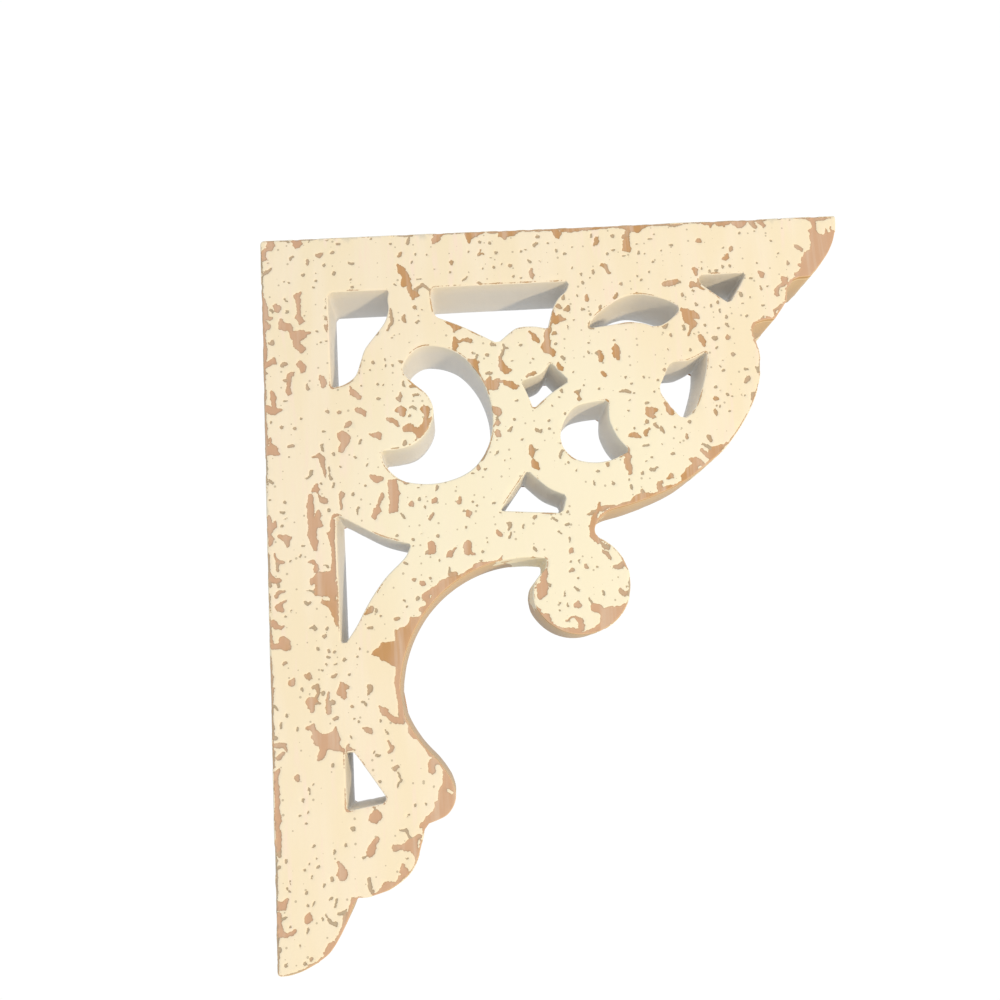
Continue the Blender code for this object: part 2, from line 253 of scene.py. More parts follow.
STROKES_STILE = (
    # the stile beside the corner window
    (17.2, 25.2, .7, 15.6, 26.8, 1.3, 15.7, 28.8, 1.2, 16, 31, .7, 15.7, 33, .9, 16.1, 35, .6, 16.2, 37.2,
     1.3, 16.5, 38.5, 1.3), (16.5, 38.5, 1, 18.6, 38.6, .5), (9.7, 28, .4, 10.6, 29, .4, 11.7, 29.6, .4),
    (6.2, 31.2, .8, 7, 32.4, 1.3, 7.2, 33, 1.1), (3.8, 32.8, .5, 4.7, 33.8, .5),
    (.4, 26.5, .9, .6, 33, 1.2, 1.2, 36, 1.5, 3.6, 37, .8, 4.8, 36.4, .5),
    (.5, 40.5, 1.2, 2.6, 40.7, 1.1), (.2, 9, .4, .2, 24, .4), (.2, 25, .9, .4, 31, 1.6, .8, 36, 2),
    (.3, 38, 1, .6, 40, 2, .3, 43, 1.4, .3, 47, 1.3, .3, 51, 1.5, .3, 56, 1.1),
    (.1, 141, .7, .2, 147, .8, .2, 154, .8), (.1, 169, .7, .2, 173, .8),
    (.1, 184, .5, .2, 190, .9, .2, 200, .8, .1, 207, .6, .1, 215, .6), (.2, 86, 1, .2, 94, 1.1),
    (.2, 108, .4, .2, 114, .5), (.3, 291, .8, .3, 302, .5),
    (8.7, 37.2, .4, 8.8, 39.2, 1.2, 9.6, 40.7, 2.1, 11.4, 41, 1.4, 12.6, 43.2, .9, 14, 45.3, 1.8, 15.5,
     45.5, 2.4, 17, 45, 2), (17, 44.2, 1.2, 19, 44.1, .7, 20.6, 44, .4),
    (14.6, 47.6, 1.3, 15, 50, 1.2, 16.4, 51.4, 1.5, 16.4, 52.6, .9), (16.4, 51, 1, 18.2, 51.2, .7),
    (2.8, 48, .5, 4, 48.2, .8, 4.3, 46.5, .3),
    (.8, 58.2, 1.2, 2.4, 57.2, 1.2, 4.6, 56.8, 1.4, 5.4, 57.6, .8), (4.7, 55.2, .5, 4.7, 56.5, 1),
    (8.2, 59, .7, 9.2, 58.2, .8, 10.4, 57.9, .4),
    (15.9, 57.5, .7, 16.3, 59, 1.4, 17, 60.6, 1.4, 17.2, 61.6, .8), (28, 29, .3, 28, 33, .4),
    (28, 36.9, .4, 28, 38.2, .7), (27.5, 41, .6, 27.8, 42.3, .9, 28.2, 43.8, .4),
    # the stile down to the crescent's foot
    (.2, 60, 1, .2, 68, 1, .2, 77, .7, .2, 84, .9, .2, 91, .8), (.5, 61.5, .8, 1.6, 61.5, .6),
    (3.2, 70.8, .7, 4, 72.8, 1.3, 4.4, 74.5, 1, 4, 76.5, .9, 3.8, 78.4, 1.4),
    (1, 77.5, 1.4, 3, 78.6, 1.5, 5.4, 79, 1.1, 7.2, 78.8, .8),
    (1, 96.5, 1.8, 3, 96, 2.2, 4.6, 97.4, 1.2, 5.8, 97.4, .6), (2, 91, .5, 2.6, 93.6, .6, 2.6, 95, 1.2),
    (.5, 101, .7, .2, 103, .4), (1.6, 109.2, .5, 2.5, 109.8, .6),
    (12.6, 62.8, .9, 11.4, 63.4, 1, 10.8, 65.5, 1.1, 10.8, 68, .8, 10.9, 70.8, 1.1),
    (9, 65, .5, 10.2, 65.6, .8), (24.4, 64, .4, 25, 65.5, 1, 25.8, 67.3, 1.3, 25.6, 68.6, .9),
    (18.9, 68, .4, 18.8, 69.6, .8), (24.2, 95, .6, 24.5, 97.4, .6),
    (20.5, 99.8, .3, 22.6, 99.6, .8, 24, 101.2, 1, 24.5, 104, .8, 25, 107.5, .5, 25.3, 109.4, .2),
    # beside and under the upright window
    (27, 105, .5, 27, 107.5, .3, 27.4, 109.6, .6), (28.3, 111.6, .5, 27.9, 113.8, .5),
    (19.2, 106, .5, 19, 108, .6, 17, 109.2, .5), (21.2, 112.3, .6, 21, 114, 1.2, 19.8, 114.4, .7),
    (21.2, 115.5, .4, 22, 117.5, .4, 23, 118.8, 1, 24.6, 119, 1, 25.2, 119.6, .6),
    (18.4, 117, .9, 18.5, 120, 1, 18.2, 123, 1.4, 18.6, 126, 1.2, 18.8, 129, 1.6, 18.7, 133, 1.7, 19.5,
     136.5, 1.7, 20.2, 139, .9), (21.8, 124, .8, 21.5, 126.5, 1.3, 21, 129, 1.8, 22.4, 129.6, 1),
    (1, 124.6, .7, 1, 126, 1.2, .8, 128.5, 1.4, 3, 128.8, 1.3, 3.6, 127.4, .7),
    (.8, 130.4, 1.3, .6, 133, 1, 2, 134, .8, 1, 136.6, .8),
    (5.6, 133.4, .9, 7.4, 134.2, 1.3, 9, 134.4, .9, 10, 134, .5), (8, 135.6, 1, 8.4, 137.6, .6),
    (3, 140.4, .3, 4, 142.6, .6, 5, 144, 1.1, 6.8, 144, .6), (4.6, 145, .8, 4.2, 147.4, .6),
    (.6, 149, .9, .6, 151, 1.2, 3, 152.4, 1, 4.8, 152, .7), (3.8, 153.6, .7, 4.2, 154.6, .5),
    (6.6, 156.4, .5, 4.6, 157, 1, 3.8, 158.4, .9),
    (7.4, 160.2, .5, 5.4, 161.4, .6, 4.4, 163.4, 1.4, 5.4, 164.6, 1),
    (.4, 157.6, .6, .3, 161, .7, .3, 165, .6),
    (1, 169.4, 1.2, 2.6, 169, 1, 2.8, 170.4, 1.1, 4.6, 171.4, .9, 5.8, 171, .5),
    (.3, 173, .7, .5, 177, 1, 1, 179, 1.2, 4, 178.8, 1.3),
    (4, 178.8, 1.3, 6.4, 179, 1.7, 7.6, 179.4, 1.4), (5.2, 176.6, 1.3, 6.8, 177.4, 1.4),
    (5.6, 186, .7, 6.6, 185.6, .8), (17.4, 145.2, .4, 19, 144.8, .8, 20, 146.6, .7, 20, 148.4, 1.2),
    (19, 153, 1.2, 18, 154, .6), (20, 156.4, 1.3, 20, 158.6, .7), (23.4, 146.6, .5, 24.6, 147.4, .6),
    (15, 156.8, .25, 18.6, 157.2, .5), (15, 161.4, .4, 16, 162.4, .6, 17.4, 162, .3),
    (16.8, 172.4, .4, 18.4, 172, .6, 19.2, 173, .6),
    # round the low window, and the knee
    (.6, 190.6, .9, .5, 192.6, .7), (14.2, 191, .5, 15.6, 191.8, 1, 15.8, 190.6, .5),
    (9.2, 192.6, .6, 8.6, 194, 1.2), (25.6, 192.6, .8, 26.6, 191.6, .6), (.8, 195.6, 1, .3, 198, .7),
    (.6, 202.6, .4, 2, 203.2, .4, 3, 204.2, .4),
    (.2, 200, .7, .2, 206, .7, .3, 213, .7, .8, 215.5, .7, 2.2, 215, .6),
    (18.6, 195.4, .8, 17.4, 196, .8), (18.8, 195.6, .9, 19.4, 198, .5, 18, 200.4, .7),
    (17, 201.6, 1.6, 16, 203, 1.8, 16.4, 205, 1), (18.4, 202.4, .8, 19.8, 202.6, .4),
    (23.2, 199.4, .6, 23.2, 202, .9, 23.4, 205, 1.1, 23.2, 206.8, .9), (24, 202.8, .8, 25.4, 202.4, .7),
    (28.9, 195.6, .8, 29, 197.6, 1.5, 28.4, 199, 1.3, 29.6, 200.4, 1.2), (30.6, 197.4, .9),
    (26, 209.2, .8, 24.6, 209.9, .5), (37.5, 203.4, .5, 37.9, 204.8, .3),
    (39.6, 197.6, .8, 40.8, 197.6, .8, 39.6, 199.2, .8, 39.2, 201, .2), (3.8, 210, .6, 3.4, 211.6, .5),
    (14.6, 212.4, .8, 16.4, 212.2, .9, 17.2, 214, .9, 18.6, 216, 1.8), (16.2, 215.6, .6, 18, 217, 1.2),
    (20, 217.6, 2.4, 22, 218.6, 2.6, 24.6, 217, 2.2, 25.2, 214.6, 1, 25.4, 213, .5),
    (20.4, 221, 1.8, 19.6, 223.4, 1.3, 18.8, 224.6, .6),
    (24.6, 219.6, 2, 26.6, 221, 1.2, 28.4, 222.2, .8), (30.6, 219.8, .5, 30.8, 221.4, 1, 32.4, 222, .6),
    (1, 218.4, .8, 3, 218.4, .9, 4.8, 218.6, 1, 5.8, 220.2, .6, 6, 221.4, .4),
    (4.2, 222, .8, 3, 223.2, 1), (.4, 221, .8, .4, 226, .7),
    (2.4, 227.6, .5, 1.2, 229, 1.3, 1.3, 235, 1.3, 1.3, 240, 1.2, 1.4, 246, 1.4, 1.5, 252, 1.2, 1.2, 258,
     1.2), (2, 259, .8, 2, 260.4, .6), (.4, 262, .8, .4, 266, .7, .4, 270, .8, .4, 275, .7),
    (1.2, 279, 1.6, 3.2, 279.6, 1.2, 4.4, 277.8, .8),
    (.8, 283, 1.4, 1, 286, 1.5, 1.4, 289, 1.6, 4, 289.8, .9, 5.8, 289.6, .7, 7.2, 288.8, .7),
    (2.6, 284.2, .5, 3.6, 283.6, .4), (10.2, 230.8, .8, 9.8, 231.8, 1), (14, 235.4, .3, 14, 238, .3),
    (40, 244.8, .5, 40, 246.2, .5), (40.2, 247.6, 1.4, 38.8, 248.6, 1.4, 41, 248.8, 1.5, 40, 249.4, 1.5),
    (37.2, 214.3, .5, 38.4, 215.2, 1, 39.8, 215.4, .9),
    (43.4, 205.6, .4, 44.6, 207, 1, 46.4, 208.6, 1.2, 48.2, 210.4, 1.2, 49.4, 211.6, 1.3),
    (49.4, 211.6, 1.3, 52, 211.6, 1.4, 53.4, 212.8, .8), (52, 209, .7), (45.6, 215, .3, 46.6, 216.4, .3),
    (46.4, 219.2, .5, 47.4, 220.8, .8, 48.2, 222.4, 1, 47, 224, 1, 46.4, 223.8, .6),
    (41.2, 224.8, .4, 42.6, 225.2, .5), (48.4, 230.6, .8, 49.6, 230, .8, 50.4, 230, .3),
    (49.4, 232, .4, 50.2, 233.6, .4, 51, 235, .5, 50.2, 236.4, .4, 49.8, 238, .3),
    (63.2, 228.6, .5, 63.8, 230.4, 1.5, 64.6, 229, 1, 65.6, 229.4, .9),
    (63.8, 230.4, 1.5, 63.4, 232.6, 1.2),
    # the scallop and the foot
    (40.4, 256.8, .8, 39, 258.6, .9, 38, 260.6, 1.4, 37.2, 262.6, 1), (36, 263.6, .3, 34.8, 263.8, .6),
    (50, 254.4, .4, 51.6, 254.2, .6, 52.8, 255.8, .5, 53.8, 258, .6),
    (47, 260.4, .8, 49, 261, 1, 47.4, 261.8, .8),
    (49, 261, 1, 51, 261, 1.3, 53, 260.4, 1.8, 55, 259.8, 1.8, 55, 261.6, 1.9, 56, 263.4, 1.4, 56, 266,
     .9), (55.4, 258, 1, 56.6, 257.4, .8, 58.2, 257, .5),
    (25, 264.6, .6, 25.6, 266.6, 1.1, 26.4, 268.4, 1.6, 26, 270, 1.4), (4.4, 272.6, .4, 5.4, 274, .5),
    (23.8, 278.8, .5, 23.2, 281.4, .4), (13.2, 282.6, .5, 12.8, 284.4, 1.4, 12, 285.8, .8),
    (12.2, 288.4, .4, 11.7, 289.8, .4),
    (19.6, 283.4, .3, 20.6, 285.2, .5, 21.6, 287, .6, 22.8, 287.6, .6, 23, 286.4, .4),
    (24.6, 283.8, .5, 26.4, 283.4, .6, 27.4, 282.4, .4),
    (27, 284, .7, 26.6, 286.6, .9, 25.6, 289, .8, 24.8, 291.6, .6),
    (24, 294.6, .6, 21.6, 295.6, 1.6, 20, 298, 1.4, 18.4, 297.6, .6),
    (13, 302, 1, 16, 301.4, .7, 18.4, 300, .6), (4, 304.4, .4, 8, 303.8, .5, 10, 303.2, .4),
    (29.6, 278.8, .8, 30.4, 279.8, 1, 28.6, 285, 1, 26, 290.4, 1, 23.6, 293.6, .9),
    (50.4, 267.8, .8, 49.8, 269.6, 1.2, 51, 270.6, 1.6, 52, 271.6, .9),
    (49.4, 272.4, 1.2, 48.6, 273.6, .8),
    (38.6, 277.8, .6, 41, 277, 1, 43.6, 275.2, 1.6, 46.6, 275.2, 1.2, 48.6, 274.6, .7),
    (36.9, 271.6, .5, 36.9, 274, .7, 37.8, 276.6, .6),
)
STROKES_SCROLL = (
    # round the corner window and the crescent
    (36.6, 69.3, .3, 37.4, 71, .5, 38, 72, 1.1, 39.8, 73.2, 1.2, 41, 74.6, 1.1),
    (39.4, 80.2, .7, 41, 80.6, 1.1, 42.6, 82, 1, 42.8, 82.8, .6),
    (34.2, 87, .5, 35.3, 86.4, 1, 36.3, 86, .8),
    (33.3, 90, 1, 32.2, 91.2, 1.5, 33.6, 92.6, 2.2, 33.4, 94.8, 1.5, 32.4, 97, 1.4),
    (32, 116.8, 1, 31.6, 119, .5, 31.4, 121, .6, 31.4, 123, .6),
    (44.4, 109.6, .5, 46, 110.6, 1.2, 47, 111.4, 1.1, 48.8, 111.4, .6),
    (48.7, 117.5, .5, 48.5, 119.5, 1, 47.4, 122, .4), (46.8, 123.2, .8, 46.2, 125, 1.7, 45, 127, 1.2),
    (38.6, 122.6, .5, 38, 125.5, .3), (44.6, 91.2, .3, 46.2, 91.8, .7, 48, 92, 1.3, 48.8, 93.2, .7),
    (40.2, 95.2, .6, 41.2, 93.8, .3), (58.6, 73.6, .3, 58.3, 75.6, .9, 57.4, 76.2, .8, 58.2, 77.6, .4),
    (57.2, 81.2, 1, 58.6, 81.6, 1.7, 58.6, 83, 1.1),
    (52.6, 84.8, .7, 54.4, 85.8, 1.1, 55.8, 86.8, .9, 56.8, 88, .5),
    (60, 90, 1.1, 62, 89, 1.4, 64.5, 90.8, 1.4, 66.5, 92, 1.8, 68.5, 90, 1.8, 70, 87.5, 1.6, 71.4, 85.8,
     .9), (68.3, 86, .8, 69, 88, 1.2), (66.5, 92.5, 1.4, 65.5, 94.3, .8, 63.4, 96, .4, 61.4, 97.6, .3),
    (67.6, 81.6, 1, 68.9, 81.8, 1.6, 69.6, 83, .9, 69.2, 85.3, .6),
    (62.2, 80, .4, 63.4, 79.9, .4, 64.5, 81.3, .5, 64.9, 82.2, .3),
    (66, 74.6, .5, 64.8, 74.7, .7, 64, 76, .3), (60.5, 69, .5, 60.6, 70.6, .6),
    (63.2, 70.6, .7, 64.7, 70, .9), (59.6, 95.4, .6, 59.2, 97.6, .7), (54, 98.6, .5, 56.5, 98.3, .6),
    (56.4, 111, .5, 57.2, 111.6, .4),
    # under the rail window and down to the crescent's tail
    (56, 35.4, .6, 56.6, 38, .8, 56.4, 41, .7, 54.6, 44.6, .6), (67.2, 41.8, .6, 68.3, 41.2, .5),
    (62.2, 38.6, .6, 61.8, 39.8, .9, 62.6, 41.4, .4),
    (78.6, 40.8, .4, 81, 42.6, .7, 83.4, 44.6, 1.3, 85, 45.2, 1.3, 86, 44.6, .9),
    (83.6, 46, .9, 83.4, 46.8, .6), (83.8, 50.6, .9, 83.4, 53, 1.4, 83, 54.6, .9),
    (84.4, 51.2, .8, 87, 51, .6, 90, 51.4, 1, 90.4, 52.2, .8), (49.2, 45.7, .3, 49.6, 46.4, .5),
    (41.2, 61.3, .5, 40.8, 63.5, .5), (74.4, 29, .4, 75, 34, .5, 76.2, 38, .6),
    (89.6, 61, 1.2, 91.4, 61.4, 1.6, 91.6, 63.5, 1.4, 92, 66, 1, 93, 69.5, .6),
    (96, 66.8, .5, 97.4, 67, .7, 98.4, 66.6, .4),
    (97.6, 69.5, 1, 97.4, 72, 2.2, 99.4, 72.4, 2.2, 100.4, 70.6, 1),
    (101, 70, .8, 103.6, 70.6, .5, 105, 72, 1.2, 107.5, 73, 1.4, 109, 73.4, 1),
    (102.8, 60.2, .6, 103, 62, .9, 104, 64.5, 1.6, 105.4, 66, 1.5, 106.8, 66, .8),
    (104.4, 53.9, .4, 105, 55, .6, 106.6, 55.6, .6), (105, 55.5, .5, 103.8, 58, .7, 103, 60.5, .6),
    (92.9, 58.6, .5, 92.4, 59.8, .3), (97.4, 82.6, .7, 99, 83.6, 1.5, 100.6, 84.6, 1.3),
    (99.6, 86.4, .5, 99.4, 87.6, .5), (98.4, 89.4, .6, 99.6, 89.4, 1.3),
    (99.3, 93.5, 1.4, 99.4, 94.6, 1.3), (104.6, 93, .7, 105.8, 92, .7, 106.4, 91.6, .3),
    (116, 93.4, .5, 117.2, 94, .7, 118.2, 94.8, .3),
    (113.8, 101.2, 1.1, 113.6, 103.6, 1, 113.2, 105.6, .5), (115.2, 102.6, .4, 116.4, 102.4, .3),
    (113.8, 107, .8, 114.6, 109, 1.4, 115.8, 110.4, 1), (99.2, 102.2, .5, 98, 103.6, .4),
    (93.6, 101.6, .6, 92.2, 103.8, .9, 91.2, 105, .7), (89.2, 107.6, .6, 90.2, 109, 1),
    (72.3, 114.8, .5, 72.2, 116, .7, 71.9, 117.4, .4), (114, 69.6, .5, 115.2, 68.4, .8, 117, 68, 1),
    # the sawn end of the rail window and down to the keyhole
    (132.6, 32.6, .6, 132.8, 34, .7), (129.6, 36.8, .5, 131, 37.8, .9),
    (133, 39, .6, 134.6, 38.6, .9, 135, 37.6, .5), (148.8, 38.9, .7, 149.8, 38, .4),
    (127.4, 39.5, .6, 127.4, 41.5, .8, 128.4, 43.6, 1.5, 130, 43.6, 1.6, 132, 44, .7, 132.8, 43.8, .4),
    (130.6, 42, .8), (127.4, 43, 1, 126.2, 46, .7, 125.4, 48.6, 1),
    (124.4, 49.5, 1.3, 124.2, 51.8, 1.1, 124.4, 54.4, 1.5, 123.4, 56.6, 1.6, 125, 58, 1.4, 126.4, 59.8,
     1.2), (116.8, 49, .4, 118.4, 50.4, .7, 119, 52, 1.1, 120.4, 53.8, .6),
    (127, 50.4, .4, 128, 49.8, .9), (154, 56.6, .6, 154, 58.5, 1.6, 154.3, 61, 1.8, 154.8, 63, 1.1),
    (147.4, 59.6, .6, 147, 61, .9, 147.2, 62.8, 1.2), (145.6, 59.8, .4, 147, 61, .4),
    (130.2, 61, .5, 130.8, 62, .6), (144, 45.6, .6, 144, 47.4, .7, 145.2, 48.6, .4),
    (128, 64.8, 1, 129, 66.4, 1.2), (128.6, 76.4, .6, 128.8, 77.2, .4), (136, 77.4, .6, 137, 77.2, .6),
    (134.6, 77.4, .6, 136, 77.8, .7, 135.8, 79.4, .4, 136.2, 81, .9),
    (146.6, 69.4, .6, 147.8, 69.8, 1.2, 148.4, 70.8, .7),
    (154.4, 78.2, .5, 156.4, 78, .7, 158.2, 78.8, .6), (166, 33.6, .5, 172, 35.4, .6),
    (129.2, 86.6, .6, 130, 87.4, .4), (126.4, 103.4, .5, 125.8, 106.8, .3),
    (146, 109.6, .8, 146.2, 111, .5),
    (154.6, 105.4, 1, 155.4, 108, 1, 154.6, 110, 1.3, 155, 112.6, 1, 155.2, 115.6, .6), (154.8, 118, .4),
    (154.9, 120, .4, 155.4, 122.4, .4), (160.2, 122.8, .8, 160, 124.6, .8),
    # between the leaf window and the nose
    (185, 42, .8, 187.6, 43.2, 1.6, 190, 44.6, 1.8, 192.2, 45.8, .9),
    (186.6, 44.6, 1.4, 188.6, 47, 1.9, 190.4, 49, 1.2, 189, 50.4, 1),
    (188.6, 50, 1, 188, 52.4, .6, 187, 53.9, .5), (192.4, 54.6, .9, 193, 56.6, 1.3, 193.4, 59, .8),
    (197.8, 55.6, .6, 199.3, 56, .7), (204.2, 56.6, .7, 205.4, 55.6, 1), (178, 48.4, .6, 177, 49.6, .7),
    # the drum
    (210.2, 77.4, .5, 211, 76.2, .8, 212, 74.8, .8), (195, 89.4, .9, 195.8, 90.8, .8),
    (213.4, 82.6, .7, 213, 85, .7), (216, 70.5, .6, 216.2, 73, .5), (174.6, 69.6, .7, 175.4, 70.2, .4),
    (174, 85, .8, 175.4, 87.6, 1.8, 176.4, 89, 1.2),
    (165.4, 86.6, .7, 166.6, 88, 1.5, 168.4, 87.8, 1.1, 169.8, 87.8, .6), (166, 89, 1.3, 167.6, 90.2, 1),
    (168, 93.6, .8, 169, 95, .8), (170.8, 94.6, .3, 171, 96.4, .8, 171.8, 97.8, .6),
    (165.8, 96.2, .4, 164.4, 96.6, .5, 163.8, 98.2, 1), (157, 98.4, .7, 159.4, 98.2, 1.2, 161, 99, .5),
    (181.8, 99.6, .5, 181.4, 101, .9), (191, 101.2, .8, 191.8, 102.8, .7),
    (188.6, 104, .6, 190, 105, .6, 191.4, 106.4, .6), (201.6, 101.4, .4, 201.2, 103.2, .6),
    (163.8, 114, .5, 165.8, 114.4, .6, 167.2, 113.2, .5), (171.2, 118, .6, 173, 117.2, 1.1),
    (185.6, 89.2, .6, 184.6, 89.8, .4), (187.2, 107, .7, 188.8, 108.4, .7, 190.4, 109.4, 1.2),
    (191.6, 108.8, 1.8, 193.4, 107, 1.8, 195.4, 106.8, 1.5, 197.4, 106, 1, 198.2, 104.8, .6),
    (192, 111, 1.6, 194.4, 109.4, 1.3, 190.8, 112.4, .8),
    (182, 110.4, .6, 184, 111.4, 1.4, 186, 112, 1.4),
    (184, 113, 1.8, 181.6, 115.6, 2, 179, 118, 1.8, 178.4, 119.4, 1.4),
    (187, 113.8, 1.2, 189, 114, .9, 187, 116, 1, 184, 117.8, 1.6, 181, 119.6, 1.2),
    (168.2, 119.8, .7, 167, 120.6, .9, 167.4, 122, 1, 168, 123.4, 1.1),
    (168, 123.4, 1.1, 171, 122.6, 1.3, 174, 122.6, 1.1, 177, 121.8, .8, 180, 119.6, .7),
    (156, 127.4, 1.2, 160, 126, 1.8, 164, 125.2, 1.2, 168, 124.6, 1),
    # the neck and the ball
    (140.8, 127.4, .4, 140.4, 129.6, 1.1, 139, 131.4, .9, 138.2, 134, 1.2, 137.4, 137, 1.3, 137.2, 140,
     1.3, 137.8, 142.6, 1.1, 138.6, 144.2, .7), (139.4, 130.6, .8, 137.4, 131, .7, 135.8, 131.8, .5),
    (136, 136.8, .5), (141.4, 129.8, .8, 146, 129.4, .7, 150, 129, .6, 154, 127.8, 1),
    (140.6, 147.6, .5, 142, 148.6, .9, 143, 151, .8), (142, 146, .6, 143.6, 146.6, .6),
    (139.6, 144.6, .6, 141.4, 146, .8, 143, 147, .6),
    (149.4, 151.4, .5, 150.2, 153.6, 1.1, 150.8, 155.4, .6),
    (144.4, 154.8, .5, 146, 155.2, .7, 147.8, 154.8, .9, 148.6, 153.6, .7),
    (146.8, 165, .8, 148, 166.8, .9, 149, 166.2, .7), (138.8, 165, .4, 139.4, 166.8, .4),
    (127, 162.8, .4, 128.6, 163.4, .5, 129.8, 163.4, .3), (122.9, 164, .3, 122.7, 166, .4),
    (128.4, 168.6, .6, 127.6, 170, 1.1, 128.8, 170, .9), (133, 167.6, .3, 134, 169.6, .6),
    (125.8, 156, .5, 126.8, 155, .8),
    (134.6, 171.4, 1.3, 136.4, 172.2, 1.5, 139, 174, 2, 142, 174, 2, 144.6, 173.2, 1.3, 146, 173, .8),
    (147.2, 171.8, .9, 144.2, 175.6, 1.6, 140, 178.8, 1.4, 135.4, 180.8, 1),
    (138.6, 176.4, 1.6, 140.6, 176.4, 1.8, 138, 178.8, 1.4, 133, 181.2, .8, 128, 182, .6),
    (122.6, 176, .5, 124.6, 175.2, .35, 126.6, 174.8, .5, 128.4, 176.6, .9, 128.8, 179, 1.3),
    (120.4, 179.6, .6, 124, 180.4, .8, 128, 180.8, 1.2),
    (115, 155.6, 1.4, 114.4, 158.4, 1.5, 113.8, 161, 2, 113, 163.6, 2, 112.4, 165.8, 1.3),
    (114, 173.4, 1.2, 115, 175.4, 1.2), (127.2, 146.2, .9, 127, 147.8, 1),
    (111.4, 145, .6, 112.6, 145.8, .5), (132.6, 154, .9, 133.6, 154.6, .6),
    (130.1, 151, .3, 129.9, 152.4, .3), (126.6, 141.2, .5, 126.4, 143, .3),
    (107.6, 134.4, .4, 107.4, 135.8, .6), (122.3, 138.2, .4, 123.4, 139.4, .3),
    (120.8, 132.6, .5, 121.8, 133.4, .4),
    # between the crescent and the cove
    (60.8, 122.6, 1.1, 59.6, 122.9, .4), (81.6, 121.6, .7, 81.2, 122.8, 1.1),
    (84.6, 127.2, .6, 84.9, 128.8, 1.2), (82.3, 126.8, .5, 83, 127.2, .5),
    (69.8, 127.4, .5, 69.2, 129, .9, 68.6, 129.8, .7), (56.3, 126.8, .4, 57.4, 128.2, .5),
    (68.2, 140.4, 1.4, 68.6, 142.4, 1.7, 68.6, 143.6, 1.4), (66.8, 143.6, .8, 65.8, 144, .4),
    (75.8, 145.4, 1.1, 76.2, 144.6, 1, 77.4, 143.8, .5, 78.8, 142.4, .4),
    (83.6, 140.4, .9, 83.6, 142.6, 1.6, 83.8, 145, 1.3, 84.8, 146, .5, 86.4, 146.3, .4),
    (96.8, 136.4, .6, 97.4, 137.8, 1.1, 97.6, 139, .7),
    (100.4, 133.6, .4, 101.8, 133.6, .7, 102, 135.2, .6, 101, 136.4, .4),
    (102, 138, .6, 101.4, 139.8, .6), (75, 151.4, .5, 75.4, 153, .3), (76.2, 153.8, 1, 77.6, 153.4, .8),
    (63.8, 157, 1.1), (52, 170.8, .8, 53, 170.6, .9),
    (38.4, 168.4, .6, 40, 167.4, 1, 41.6, 166.6, 1, 42.2, 165.4, .5), (40.4, 174.2, .6, 41.8, 173.8, .7),
)
print("strokes:", len(STROKES_TOP) + len(STROKES_STILE) + len(STROKES_SCROLL))

# %% Patches, and the paint left standing in them
PATCHES = (
    # the nose
    (249.6, -1, 249, 1.6, 250, 3, 249.6, 5, 248.6, 6.4, 247.4, 7.2, 248.6, 8, 248, 10.4, 248.2, 13, 247.6,
     16.2, 244.6, 16.8, 244, 19, 242.6, 19.2, 242.2, 22.4, 240.8, 23, 241.6, 25, 240.6, 26.8, 238.8, 27.4,
     238.4, 29, 241, 29.4, 241, 34, 262, 34, 266, 8, 259.6, 7.4, 258.8, 7.6, 258.4, 5.4, 257.8, 5, 257.6,
     8, 256.8, 8.4, 256.4, 6.6, 255.6, 6, 255.4, 7, 255, 8.8, 253.6, 9.4, 252.2, 8, 251.8, 5, 251.6, 1.2,
     251.6, -1),
    # the upright chip with square ends, left of the crescent's foot
    (51.4, 111.8, 55.6, 112, 55.6, 116.4, 56.8, 118, 55.6, 119.4, 55.2, 126, 53, 126.2, 51.2, 126.8, 51,
     124, 51.6, 120, 51, 115),
    # beside the stile window
    (28.9, 125, 27.4, 125.4, 26.6, 128, 26.6, 132.4, 25, 133.2, 25.8, 136, 26.6, 141, 26.2, 147, 25.6,
     149.6, 21.8, 149.8, 19, 150, 18.2, 153.4, 20, 155, 20, 158.6, 21.6, 160, 21, 162.8, 24, 164, 25.6,
     167, 26.8, 169.4, 27, 172.4, 28.2, 172.4, 28.2, 125),
    # along the cove, from its crown down to the knee
    (98, 147, 96, 149.4, 92, 149.6, 89, 149.4, 86, 149.9, 85, 151.6, 82.4, 152.6, 79, 153.9, 77, 154.6,
     74, 155, 71, 156, 69.6, 158, 66.4, 159.4, 65, 160.6, 63.2, 161.6, 62.4, 163.6, 64.6, 164.4, 65,
     165.8, 62, 166.6, 61.6, 168, 63, 168.8, 61.6, 170.4, 58.4, 170.4, 57.6, 172.6, 55.4, 174, 52, 175.2,
     51.4, 174.8, 51.2, 180.2, 46, 180.2, 44.6, 182, 42.2, 183.2, 41.6, 184.8, 44, 186, 47, 188, 49.6,
     189.8, 50.8, 190.5, 50.6, 196, 49.8, 197.2, 50.6, 199, 51, 207, 52, 211.4, 60, 211, 64, 190, 76, 168,
     98, 152),
    # the knee
    (66.8, 230.4, 68, 232, 67.8, 237.6, 66, 239, 65.4, 241, 65.4, 244, 63.8, 245, 63.4, 247, 61.6, 249.6,
     60, 250.8, 58, 252.2, 57.4, 253.6, 58.4, 254, 61, 254, 76, 250, 76, 234, 70, 229.4),
)
ISLANDS = (
    (23, 147.6, .8, 23.2, 149, .8), (23, 160.4, .9, 24.6, 160.6, .8), (185.8, 114.4, .9),
    (112.6, 159.6, .6), (111, 164.4, .5), (140.6, 131, .4), (67, 162.6, .5),
    (69.6, 241.2, .6, 71.2, 241.4, .6), (57.6, 259.4, .7, 57.2, 261.2, .8),
)
print("patches:", len(PATCHES), "and islands of paint:", len(ISLANDS))

